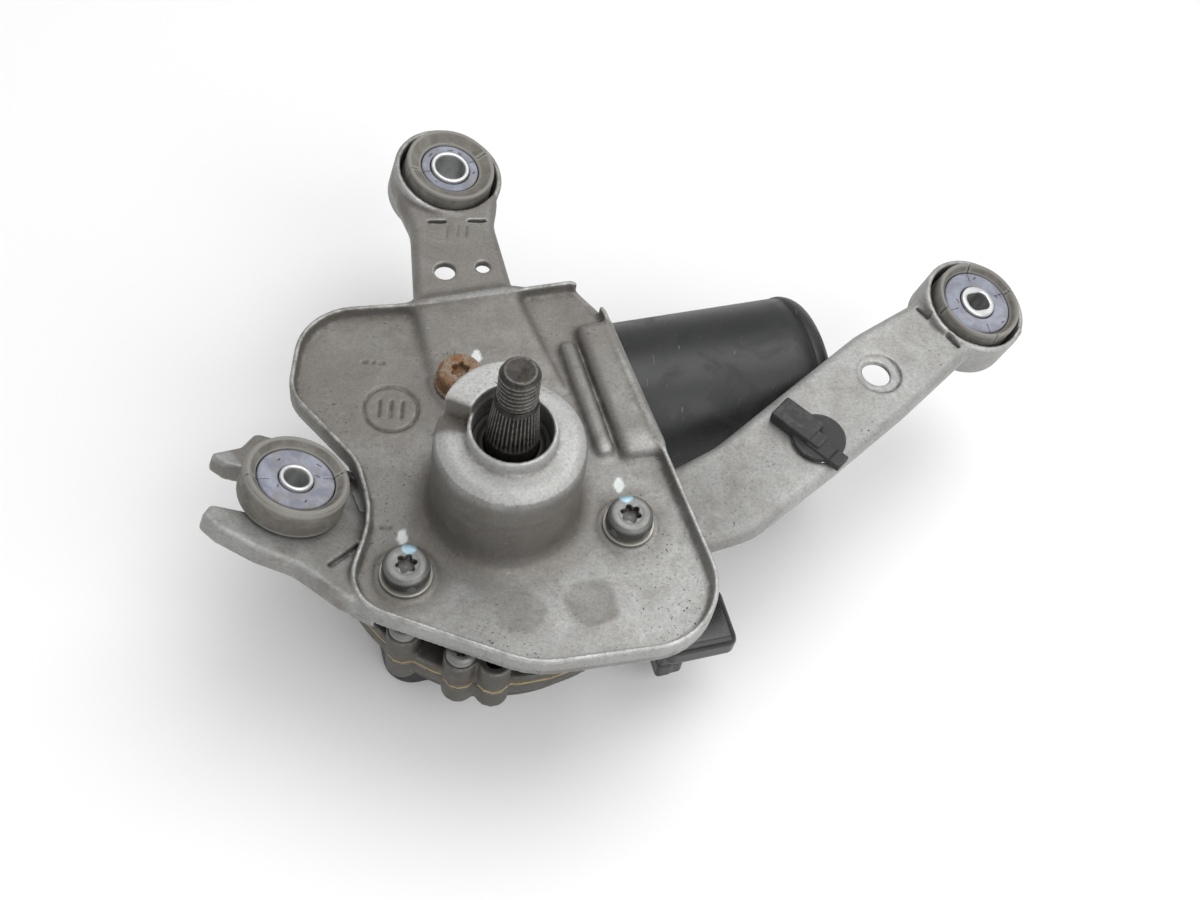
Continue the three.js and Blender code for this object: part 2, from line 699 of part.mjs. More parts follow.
function outputSpindle() {
  const thread = carved(SPINDLE_TIP - THREAD_LENGTH, SPINDLE_TIP, 16, 23, (angle, z) => {
    const turns = z / THREAD_PITCH - angle / (2 * Math.PI);
    const wave = Math.abs(2 * (turns - Math.floor(turns)) - 1);
    const chamfer = Math.min(1, (SPINDLE_TIP - z) * 1.2);
    return (THREAD_R - THREAD_DEPTH * wave) * (0.8 + 0.2 * chamfer);
  });
  const knurl = carved(KNURL_BASE, KNURL_TOP, KNURL_TEETH * 2, 1, (angle, z) => {
    const up = (z - KNURL_BASE) / (KNURL_TOP - KNURL_BASE);
    const tooth = Math.cos(angle * KNURL_TEETH) * 0.18;
    return THREE.MathUtils.lerp(6.5, 5.2, up) + tooth;
  });
  const shaft = turned([
    [0, HOUSING_FLOOR + 3.6], [SPINDLE_R, HOUSING_FLOOR + 3.6], [SPINDLE_R, 22.6], [5.2, 22.6],
    [5.2, 23.8], [SPINDLE_R, 23.8], [6.6, 26], [6.6, KNURL_BASE + 0.5], [4.1, KNURL_BASE + 0.5],
    [4.1, SPINDLE_TIP - THREAD_LENGTH + 0.4], [0, SPINDLE_TIP - THREAD_LENGTH + 0.4],
  ]);
  return joined(toSolid(shaft), toSolid(knurl), toSolid(thread));
}

function wormWheel() {
  const low = MOTOR_Z - WHEEL_FACE / 2;
  const high = MOTOR_Z + WHEEL_FACE / 2;
  const lead = WORM_PITCH / (2 * Math.PI * WORM_R);
  const towardsWorm = THREE.MathUtils.degToRad(MOTOR_ANGLE + 90);
  const samples = 6;
  const toothed = carved(low, high, WHEEL_TEETH * samples, 1, (angle, z) => {
    const middle = towardsWorm + (z - MOTOR_Z) * lead / WHEEL_R;
    return toothRadius(WHEEL_R, (angle - middle) * WHEEL_TEETH / (2 * Math.PI));
  });
  const web = 2;
  return cutBy(
    toSolid(toothed),
    toSolid(ring(12, 29.5, MOTOR_Z + web, high + 1)),
    toSolid(ring(12, 29.5, low - 1, MOTOR_Z - web)),
    toSolid(rod(SPINDLE_R + 0.12, low - 1, high + 1, ROUND)),
  );
}

function addSpindleGroup() {
  add('output_spindle', outputSpindle(), blackSteel);
  add('worm_wheel', wormWheel(), acetal);
  add('spindle_washer', ring(SPINDLE_R + 0.25, 8.6, NECK_TOP + 0.1, NECK_TOP + 0.55), plainSteel);
  add('retaining_ring', ring(5.35, 8, 22.75, 23.65), blackSteel);
  add('spindle_bush_upper', ring(SPINDLE_R + 0.25, NECK_BORE_R - 0.15, 11, 20), bronze);
  add('spindle_bush_lower', ring(SPINDLE_R + 0.25, NECK_BORE_R - 0.15, -16, -6), bronze);
  add('spindle_seal', turned([
    [7.6, 25.2], [BORE_R - 0.2, 25.2], [BORE_R - 0.2, 29], [9, 29], [6.95, 28.2], [6.95, 27],
  ]), blackRubber);
  const floor = HOUSING_FLOOR + FLOOR_T;
  add('thrust_washer', ring(3, 9, floor + 0.1, floor + 0.8), plainSteel);
}

// ---- motor ----

function motorCan() {
  const inner = CAN_R - CAN_WALL;
  const nose = 9;
  const pocket = 7.5;
  const shell = turned([
    [inner, CAN_START], [CAN_R, CAN_START], [CAN_R, CAN_END - 6], [CAN_R - 1.6, CAN_END - 2],
    [CAN_R - 5.5, CAN_END], [nose, CAN_END], [nose, CAN_END + 2.6], [nose - 2, CAN_END + 4], [0, CAN_END + 4],
    [0, CAN_END + 2.5], [pocket, CAN_END + 2.5], [pocket, CAN_END - CAN_WALL], [inner - 4.8, CAN_END - CAN_WALL],
    [inner - 1.2, CAN_END - 3.2], [inner, CAN_END - 6.5],
  ], 32);
  return shell;
}

function armatureShaft() {
  const shaftR = 3.5;
  const worm = carved(-16, 16, SMALL_ROUND, 44, (angle, z) => {
    const quarter = angle + Math.PI / 2;
    const ramp = Math.min(1, (16 - Math.abs(z)) / 2);
    const ridge = toothRadius(WORM_R, z / WORM_PITCH - quarter / (2 * Math.PI) - 0.5);
    return THREE.MathUtils.lerp(WORM_R - TOOTH_ROOT, ridge, ramp);
  });
  const shaft = rod(shaftR, TUNNEL_FROM + 3, CAN_END + 2);
  return joined(toSolid(worm), toSolid(shaft));
}

const CORE = [57, 90];
const CORE_R = 18.5;
const SLOTS = 8;

function slotBars(low, high, inner, outer, width) {
  return Array.from({ length: SLOTS }, (_, i) => {
    const bar = block(inner, outer, -width / 2, width / 2, low, high);
    return toSolid(bar.rotateZ(i * 2 * Math.PI / SLOTS));
  });
}

function addArmature() {
  const shaftHole = 3.65;
  const [from, to] = CORE;
  add('armature_shaft', armatureShaft(), plainSteel, motor);
  const stack = toSolid(ring(shaftHole, CORE_R, from, to));
  add('armature_core', cutBy(stack, ...slotBars(from - 1, to + 1, 9, CORE_R + 1, 5)), plainSteel, motor);
  const winding = joined(
    toSolid(ring(8, CORE_R - 1.5, from - 6, from - GAP)),
    toSolid(ring(8, CORE_R - 1.5, to + GAP, to + 6)),
    ...slotBars(from - 1, to + 1, 9 + GAP, CORE_R - 1.5, 5 - 2 * GAP),
  );
  add('armature_windings', winding, copper, motor);
  add('commutator', ring(shaftHole, 8, 44.5, 50.7, SMALL_ROUND), copper, motor);
}

function magnet(from, to) {
  const shape = new THREE.Shape();
  shape.absarc(0, 0, CAN_R - CAN_WALL - GAP, from, to, false);
  shape.absarc(0, 0, CORE_R + 1, to, from, true);
  return slab(shape, CORE[0] - 3, CORE[1] + 3);
}

function addMotor() {
  add('motor_can', motorCan(), canPaint, motor);
  const span = THREE.MathUtils.degToRad(65);
  add('magnet_lower', magnet(-span, span), ferrite, motor);
  add('magnet_upper', magnet(Math.PI - span, Math.PI + span), ferrite, motor);
  const card = toSolid(ring(9.4, CAN_R - CAN_WALL - 1, 41.2, 43.2));
  add('brush_card', cutBy(card, ...motorScrewHoles(40, 45).map(toSolid)), brownCard, motor);
  add('brush_a', block(-2.5, 2.5, 8.3, 17, 44, 49.5), carbon, motor);
  add('brush_b', block(-2.5, 2.5, -17, -8.3, 44, 49.5), carbon, motor);
  add('front_bearing', ring(3.8, 9, 28, 34.5, SMALL_ROUND), plainSteel, motor);
  add('rear_bearing', ring(3.8, 7.2, CAN_END - 3.5, CAN_END + 2.2, SMALL_ROUND), bronze, motor);
  for (const [name, side] of [['motor_screw_a', 1], ['motor_screw_b', -1]]) {
    const screw = turned([
      [0, FLANGE[0] - 3.4], [3.6, FLANGE[0] - 3.4], [3.6, FLANGE[0] - GAP], [2, FLANGE[0] - GAP],
      [2, 44.4], [0, 44.4],
    ], 12);
    add(name, screw, zincSteel, motor).position.set(side * MOTOR_SCREW_AT, 0, 0);
  }
}

// ---- build ----

add('mounting_bracket', mountingBracket(), castAluminium);
addBracketScrews();
for (const [name, mount] of Object.entries(MOUNTS)) {
  addRubberMount(name, mount);
}
addCableClip();
add('gear_housing_top', gearHousingTop(), housingAluminium);
add('housing_gasket', housingGasket(), paleGasket);
add('gear_housing', gearHousing(), housingAluminium);
addHousingScrews();
add('electronics_box', electronicsBox(), blackPlastic, yaw);
addConnector();
add('circuit_board', slab(outline(inset(BOX, 4)), -55.6, -54.6), boardGreen, yaw);
addSpindleGroup();
addMotor();
addArmature();

export default group;
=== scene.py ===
# Looks for a direct-drive windshield wiper motor on its cast mounting bracket.
# Shapes are worked out in millimetres with heights counted from the bracket's plate floor,
# then turned into metres in the frame's own axes.

import json
import math
from itertools import product

import bpy
import numpy as np
from mathutils import Matrix, Vector


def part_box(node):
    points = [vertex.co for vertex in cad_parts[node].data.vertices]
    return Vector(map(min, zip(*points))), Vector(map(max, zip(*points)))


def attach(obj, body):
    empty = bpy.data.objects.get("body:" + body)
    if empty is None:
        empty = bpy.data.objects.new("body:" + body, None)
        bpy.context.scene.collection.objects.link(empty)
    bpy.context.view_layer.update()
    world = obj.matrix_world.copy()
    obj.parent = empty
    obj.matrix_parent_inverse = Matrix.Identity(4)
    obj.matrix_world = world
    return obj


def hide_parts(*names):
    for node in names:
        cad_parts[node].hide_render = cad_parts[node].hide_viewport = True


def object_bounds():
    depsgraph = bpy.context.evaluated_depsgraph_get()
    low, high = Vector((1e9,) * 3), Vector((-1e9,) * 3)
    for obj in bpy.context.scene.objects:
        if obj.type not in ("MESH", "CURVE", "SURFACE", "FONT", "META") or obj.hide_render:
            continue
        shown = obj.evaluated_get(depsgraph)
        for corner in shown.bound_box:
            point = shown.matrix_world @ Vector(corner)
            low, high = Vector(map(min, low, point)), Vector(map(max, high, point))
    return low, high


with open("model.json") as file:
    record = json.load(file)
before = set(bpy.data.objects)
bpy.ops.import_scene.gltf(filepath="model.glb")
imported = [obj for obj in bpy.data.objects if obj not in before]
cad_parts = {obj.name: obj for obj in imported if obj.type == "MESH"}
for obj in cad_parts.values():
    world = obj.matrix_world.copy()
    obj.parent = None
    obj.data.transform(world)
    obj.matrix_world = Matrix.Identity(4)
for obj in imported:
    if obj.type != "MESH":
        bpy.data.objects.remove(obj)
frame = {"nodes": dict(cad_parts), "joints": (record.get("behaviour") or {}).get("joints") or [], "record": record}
cad_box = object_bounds()
NODES = frame["nodes"]
MM = 0.001


def box_mm(node):
    low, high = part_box(node)
    return np.array(low) / MM, np.array(high) / MM


def centre_mm(node):
    low, high = box_mm(node)
    return (low + high) / 2


def set_at(x, y, z=0.0, turn=0.0):
    """A shift that follows a turn in degrees about Z."""
    return Matrix.Translation((x, y, z)) @ Matrix.Rotation(math.radians(turn), 4, "Z")


def out_at(turn, radius):
    """A place at a radius from Z, with its X pointing outwards."""
    return set_at(0, 0, turn=turn) @ set_at(radius, 0)


# ---- places taken from the frame ----

GAP = 0.3  # clearance between pieces that only rest near each other
WASHER_LIFT = 0.7  # underside of a bracket washer above the plate floor
FLOOR_Z = box_mm("washer_left")[0][2] - WASHER_LIFT  # plate floor in the frame
ORIGIN = np.array([0, 0, FLOOR_Z])
SCREWS = {name: centre_mm("torx_screw_" + name)[:2] for name in ("left", "right", "rear")}
ARMATURE = next(joint for joint in frame["joints"] if joint["child"] == "armature")
MOUNT_AXIS = {
    m["name"].replace("sleeve_face_", ""): Vector(m["axis"]).normalized()
    for m in frame["record"]["mounts"] if m["name"].startswith("sleeve_face_")
}
SLEEVE_LENGTH = 16.8


def mount_matrix(name):
    """The frame of a rubber mount: its origin is the centre of the sleeve's outer end."""
    axis = MOUNT_AXIS[name]
    centre = Vector(centre_mm("sleeve_" + name) - ORIGIN)
    turn = Vector((0, 0, 1)).rotation_difference(axis).to_matrix().to_4x4()
    return Matrix.Translation(centre + axis * SLEEVE_LENGTH / 2) @ turn


MOUNTS = {name: mount_matrix(name) for name in MOUNT_AXIS}
MOTOR_AXIS = Vector(ARMATURE["axis"])
MOTOR_POINT = Vector(ARMATURE["pos_m"]) / MM - Vector(ORIGIN)
YAW = Matrix.Rotation(math.atan2(MOTOR_AXIS.y, MOTOR_AXIS.x), 4, "Z")
MOTOR = Matrix.Translation(MOTOR_POINT) @ YAW @ Matrix.Rotation(math.pi / 2, 4, "Y")
MOTOR_OFFSET = (YAW.inverted() @ MOTOR_POINT).y  # of the motor's axis beside the spindle's

# ---- driving dimensions ----

PLATE_T = 3.0
RIM_H = 4.0
RIM_W = 1.3
BOSS_TOP = 30.0
BOSS_R = 18.2
BORE_R = 9.9
COLLAR_R = 11.0
COLLAR_TOP = 35.0
SECTOR_R = 17.6
SECTOR_TOP = 38.0
SECTOR_ENDS = (80, 163)  # degrees
ARM_TOP = -1.0
ARM_DEPTH = 7.0
ARM_CROWN = 2.6  # rounding of an arm's back
ARM_WALL = 2.6
TOP_ARM_TOP = 3.4
WEDGE_FROM = 38.0  # the top arm's root fades into the floor here
WEDGE_SLOPE = 0.142
ARM_WALLS_FROM = 46.5  # the arms are open below beyond this distance from the spindle
FORK_GRIP_R = 10.2
FORK_HALF = 3.0  # half the fork's thickness
FORK_DROP = 11.4  # centre of the fork below the sleeve's end, along its own axis
CUP_R = 15.9
CUP_BORE_R = 14.3
BUSH_R = 13.3
CAN_R = 27.0
FLANGE = (37.0, 40.5)  # along the motor's axis, where the can is screwed on

# Outlines are corners (x, y, radius). The plate's runs counter-clockwise, the arms' run clockwise.
PLATE = [
    (26.4, 62.6, 4), (17.2, 72.4, 3), (-28, 60, 0), (-56.8, 54.8, 17), (-57.8, 27.5, 12), (-38.5, 7.5, 14),
    (-33.5, -8, 26), (-39, -32.5, 12), (9, -47.5, 26), (61.5, -36.5, 20),
]
TOP_ARM = [
    (-26.6, 59, 0), (-26.8, 62, 6), (-29.5, 88, 14), (-35.6, 101.6, 4), (-21, 108, 0), (-5, 103, 4),
    (-6, 92, 14), (0.5, 68, 6), (1, 62, 0),
]
TOP_WEDGE = [(-19, 37, 0), (14, 37, 0), (1, 68, 0), (-27, 61.5, 0)]
RIGHT_ARM = [
    (34, 8, 0), (56.5, 23, 24), (99, 64.8, 30), (119, 79.5, 14), (128, 92, 0), (150, 72, 0),
    (133, 62, 14), (111, 38.8, 0), (89.5, 18, 0), (66.5, -3, 20), (40, -14, 0),
]
FORK = [
    (22, 14, 0), (12, 15, 6), (0, 20, 8), (-10.5, 20.5, 2), (-13.5, 14.5, 3), (-21.5, 9.6, 1.2),
    (-17.5, 7.4, 0), (-19, -7.4, 0), (-20.5, -11, 1.5), (-16, -14.5, 4), (-6, -18.5, 10),
    (4, -20.5, 10), (18, -29, 6), (26, -26, 0),
]
FORK_ROOT = [(-30.4, 5, 0), (-33, 8, 2), (-32, -8, 0), (-37.4, -31, 3), (-30.4, -34, 0)]
PAD = [(17.8, 57, 2.5), (31.2, 15.2, 2.5), (43, 18, 2.5), (27, 59.5, 2.5)]
RIDGE = [(13.4, 51.2, 2), (24.6, 15.4, 2), (28.8, 16.7, 2), (17.6, 52.5, 2)]

# ---- distance-field modelling: castings and mouldings with soft edges and fillets ----


def rounded(corners, turn=8):
    """The points of an outline from corners (x, y, radius), with an arc point every few degrees."""
    points = []
    count = len(corners)
    for i, (x, y, radius) in enumerate(corners):
        here = np.array([x, y], float)
        a = np.array(corners[i - 1][:2], float) - here
        b = np.array(corners[(i + 1) % count][:2], float) - here
        a /= np.linalg.norm(a)
        b /= np.linalg.norm(b)
        if radius == 0:
            points.append(here)
            continue
        half = math.acos(np.clip(a @ b, -1, 1)) / 2
        middle = here + (a + b) / np.linalg.norm(a + b) * radius / math.sin(half)
        first = here + a * radius / math.tan(half) - middle
        last = here + b * radius / math.tan(half) - middle
        sweep = math.atan2(first[0] * last[1] - first[1] * last[0], first @ last)
        steps = max(2, int(abs(math.degrees(sweep)) / turn))
        for s in range(steps + 1):
            c, n = math.cos(sweep * s / steps), math.sin(sweep * s / steps)
            points.append(middle + np.array([c * first[0] - n * first[1], n * first[0] + c * first[1]]))
    return np.array(points)


def inset(corners, distance):
    """The same counter-clockwise corners moved inwards."""
    moved = []
    count = len(corners)
    for i, (x, y, radius) in enumerate(corners):
        here = np.array([x, y], float)
        into = here - np.array(corners[i - 1][:2], float)
        out = np.array(corners[(i + 1) % count][:2], float) - here
        into /= np.linalg.norm(into)
        out /= np.linalg.norm(out)
        left = np.array([-into[1] - out[1], into[0] + out[0]])
        shift = left * 2 * distance / (left @ left)
        bend = into[0] * out[1] - into[1] * out[0]
        moved.append((x + shift[0], y + shift[1], max(0, radius - np.sign(bend) * distance)))
    return moved


class Shape:
    """A signed distance in millimetres, with the box it lives in."""

    def __init__(self, distance, low, high):
        self.distance, self.low, self.high = distance, np.array(low, float), np.array(high, float)

    def placed(self, matrix):
        back = np.array(matrix.inverted())
        ends = [matrix @ Vector(c) for c in product(*zip(self.low, self.high))]

        def distance(x, y, z):
            return self.distance(*(row[0] * x + row[1] * y + row[2] * z + row[3] for row in back[:3]))

        return Shape(distance, np.min(ends, axis=0), np.max(ends, axis=0))

    def at(self, x, y, z=0.0, turn=0.0):
        return self.placed(set_at(x, y, z, turn))


def polygon_distance(points, x, y):
    nearest, inside = np.float32(1e9), False
    for (ax, ay), (bx, by) in zip(points, np.roll(points, -1, axis=0)):
        ex, ey = bx - ax, by - ay
        along = np.clip(((x - ax) * ex + (y - ay) * ey) / (ex * ex + ey * ey + 1e-12), 0, 1)
        nearest = np.minimum(nearest, (x - ax - ex * along) ** 2 + (y - ay - ey * along) ** 2)
        crosses = (ay > y) != (by > y)
        inside = inside ^ (crosses & (x < ex * (y - ay) / (ey if ey else 1e-12) + ax))
    return np.where(inside, -1, 1) * np.sqrt(nearest)


def upright(flat, far, low, high, soft, near=None):
    """A flat distance carried between two heights, with rounded edges.

    It reaches to the corner far, from the corner near or else from the opposite of far.
    """
    def distance(x, y, z):
        side = flat(x, y) + soft
        end = np.abs(z - (low + high) / 2) - ((high - low) / 2 - soft)
        out = np.hypot(np.maximum(side, 0), np.maximum(end, 0))
        return np.minimum(np.maximum(side, end), 0) + out - soft

    near = (-far[0], -far[1]) if near is None else near
    return Shape(distance, (*near, low), (*far, high))


def prism(corners, low, high, soft=0.5):
    points = rounded(corners)
    return upright(lambda x, y: polygon_distance(points, x, y), points.max(axis=0), low, high, soft,
                   points.min(axis=0))


def post(radius, low, high, soft=0.5):
    return upright(lambda x, y: np.hypot(x, y) - radius, (radius, radius), low, high, soft)


def posts_at(places, radius, low, high, soft=0.5):
    return [post(radius, low, high, soft).at(x, y) for x, y in places]


def bar(length, width, low, high, soft=0.2):
    """A round-ended bar lying along X."""
    half = length / 2 - width / 2
    return upright(lambda x, y: np.hypot(np.maximum(np.abs(x) - half, 0), y) - width / 2,
                   (length / 2, width / 2), low, high, soft)


def brick(low, high, soft=0.4):
    low, high = np.array(low, float), np.array(high, float)
    middle, half = (low + high) / 2, (high - low) / 2 - soft

    def distance(x, y, z):
        q = [np.abs(v - m) - h for v, m, h in zip((x, y, z), middle, half)]
        outside = np.sqrt(sum(np.maximum(v, 0) ** 2 for v in q))
        return np.minimum(np.maximum(np.maximum(q[0], q[1]), q[2]), 0) + outside - soft

    return Shape(distance, low, high)


def revolved(profile):
    """A turned solid about Z from a closed profile of (radius, height)."""
    points = np.array(profile, float)
    reach = points[:, 0].max()
    return Shape(lambda x, y, z: polygon_distance(points, np.hypot(x, y), z),
                 (-reach, -reach, points[:, 1].min()), (reach, reach, points[:, 1].max()))


def quarter(radius, height, wide, tall, turns):
    """Profile points round a corner, at some degrees above level."""
    return [(radius + wide * math.cos(a), height + tall * math.sin(a)) for a in map(math.radians, turns)]


class Casting:
    """Shapes joined and cut in one grid of distances, then skinned."""

    MARGIN = 3.0  # how far round a shape its distances are worked out
    FAR = 4.0  # the distance given to empty space
    EDGE = 2.3  # grid steps left free round the box
    PROBE = 0.5  # grid steps to each side, to find a slope
    REACH = 0.8  # millimetres to each side, to find a bulge
    STEPS, LONGEST = 3, 0.4  # how often and how far a vertex is moved onto the surface
    CORNERS = list(product((0, 1), repeat=3))

    def __init__(self, low, high, step):
        self.step = step * 1
        edge = self.EDGE * self.step
        self.low = np.array(low, float) - edge
        count = np.ceil((np.array(high, float) + edge - self.low) / self.step).astype(int) + 1
        self.grid = np.full(count, self.FAR, np.float32)

    def window(self, shape, soft):
        pad = self.MARGIN + soft
        first = np.clip(np.floor((shape.low - pad - self.low) / self.step).astype(int), 0, self.grid.shape)
        last = np.clip(np.ceil((shape.high + pad - self.low) / self.step).astype(int) + 1, 0, self.grid.shape)
        axes = [
            (self.low[i] + self.step * np.arange(first[i], last[i])).astype(np.float32).reshape(
                [-1 if i == j else 1 for j in range(3)])
            for i in range(3)
        ]
        return tuple(slice(a, b) for a, b in zip(first, last)), axes

    def blended(self, a, b, soft):
        """The lower of two distances, with a fillet of about that size where they meet."""
        if soft == 0:
            return np.minimum(a, b)
        near = np.maximum(soft - np.abs(a - b), 0) / soft
        return np.minimum(a, b) - near * near * soft / 4

    def join(self, *shapes, soft=0.6):
        for shape in shapes:
            part, axes = self.window(shape, soft)
            self.grid[part] = self.blended(self.grid[part], shape.distance(*axes), soft)
        return self

    def cut(self, *shapes, soft=0.4):
        for shape in shapes:
            part, axes = self.window(shape, soft)
            self.grid[part] = -self.blended(-self.grid[part], shape.distance(*axes), soft)
        return self

    def merge(self, other, soft):
        """Joins another casting on the same grid."""
        self.grid = self.blended(self.grid, other.grid, soft)
        return self

    def sample(self, points):
        """Distances at points counted in grid steps."""
        base = np.clip(np.floor(points).astype(int), 0, np.array(self.grid.shape) - 2)
        part = points - base
        total = 0
        for corner in self.CORNERS:
            weight = np.prod([part[:, i] if c else 1 - part[:, i] for i, c in enumerate(corner)], axis=0)
            total = total + weight * self.grid[tuple((base + corner).T)]
        return total

    def crossings(self, cells):
        """The middle of the places where each cell's edges cross the surface."""
        values = np.stack([self.grid[tuple((cells + c).T)] for c in self.CORNERS])
        corners = np.array(self.CORNERS)
        total, count = np.zeros((len(cells), 3)), np.zeros(len(cells))
        for a, b in product(range(8), repeat=2):
            if a < b and np.abs(corners[a] - corners[b]).sum() == 1:
                crossed = (values[a] < 0) != (values[b] < 0)
                share = np.where(crossed, values[a] / np.where(crossed, values[a] - values[b], 1), 0)
                total += (corners[a] + share[:, None] * (corners[b] - corners[a])) * crossed[:, None]
                count += crossed
        return cells + total / count[:, None]

    def quads(self, inside, index):
        """A face for each grid edge that crosses the surface, from the cells round that edge."""
        found = []
        for axis in range(3):
            low = [slice(1, -1)] * 3
            low[axis] = slice(0, -1)
            high = list(low)
            high[axis] = slice(1, None)
            first, second = inside[tuple(low)], inside[tuple(high)]
            side_a, side_b = [[1, 2], [2, 0], [0, 1]][axis]
            for solid_below in (True, False):
                spots = np.argwhere((first != second) & (first == solid_below))
                ring = []
                for step_a, step_b in ((0, 0), (1, 0), (1, 1), (0, 1)):
                    cell = spots.copy()
                    cell[:, side_a] += step_a
                    cell[:, side_b] += step_b
                    ring.append(index[tuple(cell.T)])
                found.append(np.stack(ring if solid_below else ring[::-1], axis=1))
        return np.concatenate(found)

    def skin(self):
        """Vertices in millimetres, quads, and how far each vertex bulges or is sunk."""
        grid = np.clip(self.grid, -self.FAR, self.FAR)
        grid[[0, -1]] = grid[:, [0, -1]] = grid[:, :, [0, -1]] = self.FAR
        self.grid = grid
        inside = grid < 0
        size = np.array(grid.shape) - 1
        filled = sum(inside[x:x + size[0], y:y + size[1], z:z + size[2]].astype(np.uint8)
                     for x, y, z in self.CORNERS)
        cells = np.argwhere((filled > 0) & (filled < len(self.CORNERS)))
        index = np.full(size, -1, np.int32)
        index[tuple(cells.T)] = np.arange(len(cells))
        points = self.crossings(cells)
        steps = np.eye(3)
        for _ in range(self.STEPS):
            slope = np.stack([self.sample(points + s * self.PROBE) - self.sample(points - s * self.PROBE)
                              for s in steps], axis=1)
            length = np.maximum((slope ** 2).sum(axis=1), 0.05)
            move = slope * (self.sample(points) / length)[:, None]
            points = points - np.clip(move, -self.LONGEST, self.LONGEST)
        reach = self.REACH / self.step
        around = sum(self.sample(points + s * reach) + self.sample(points - s * reach) for s in steps)
        return self.low + points * self.step, self.quads(inside, index), around / self.REACH ** 2


def moved(points, matrix):
    m = np.array(matrix)
    return points @ m[:3, :3].T + m[:3, 3]


def add_object(name, data):
    made = bpy.data.objects.new(name, data)
    bpy.context.scene.collection.objects.link(made)
    return made


BULGE_TONE = 0.9  # how strongly edges are worn and hollows are darkened


def piece(name, points, faces, material, slot, node, body="frame", bulge=None, marks=None):
    """A smooth mesh from plate-frame millimetres, riding on a body and standing for a node."""
    mesh = bpy.data.meshes.new(name)
    mesh.vertices.add(len(points))
    mesh.vertices.foreach_set("co", ((points + ORIGIN) * MM).astype(np.float32).ravel())
    sizes = np.array([len(f) for f in faces])
    mesh.loops.add(int(sizes.sum()))
    mesh.loops.foreach_set("vertex_index", np.concatenate([np.ravel(f) for f in faces]).astype(np.int32))
    mesh.polygons.add(len(faces))
    mesh.polygons.foreach_set("loop_start", (np.cumsum(sizes) - sizes).astype(np.int32))
    mesh.update(calc_edges=True)
    mesh.validate()
    mesh.shade_smooth()
    layers = dict(marks or {})
    if bulge is not None:
        layers["wear"] = np.clip(BULGE_TONE * bulge, 0, 1)
        # darker in hollows, from how far each vertex is sunk
        layers["grime"] = np.clip(-BULGE_TONE * bulge, 0, 1)
    for layer, values in layers.items():
        mesh.attributes.new(layer, "FLOAT", "POINT").data.foreach_set("value", np.asarray(values, np.float32))
    mesh.materials.append(material)
    made = add_object(name, mesh)
    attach(made, body)
    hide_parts(node)


def cast_piece(name, casting, material, slot, node, place=Matrix(), marks=None):
    points, quads, bulge = casting.skin()
    points = moved(points, place)
    piece(name, points, quads, material, slot, node, bulge=bulge, marks=marks(points) if marks else None)


def lathe(rows, columns, radius_at=lambda r, a, z: r + 0 * a):
    """A grid about Z: rows are (radius, height) pairs, and radius_at may change each point's radius."""
    angles = np.linspace(0, 2 * np.pi, columns, endpoint=False)
    radii, heights = np.array(rows, float).T
    r = radius_at(radii[:, None], angles[None, :], heights[:, None])
    points = np.stack([r * np.cos(angles), r * np.sin(angles), heights[:, None] + 0 * r], axis=2)
    first = np.arange(len(rows) - 1)[:, None] * columns
    a = first + np.arange(columns)
    b = first + (np.arange(columns) + 1) % columns
    quads = np.stack([a, b, b + columns, a + columns], axis=2).reshape(-1, 4)
    return points.reshape(-1, 3), quads


# ---- materials ----


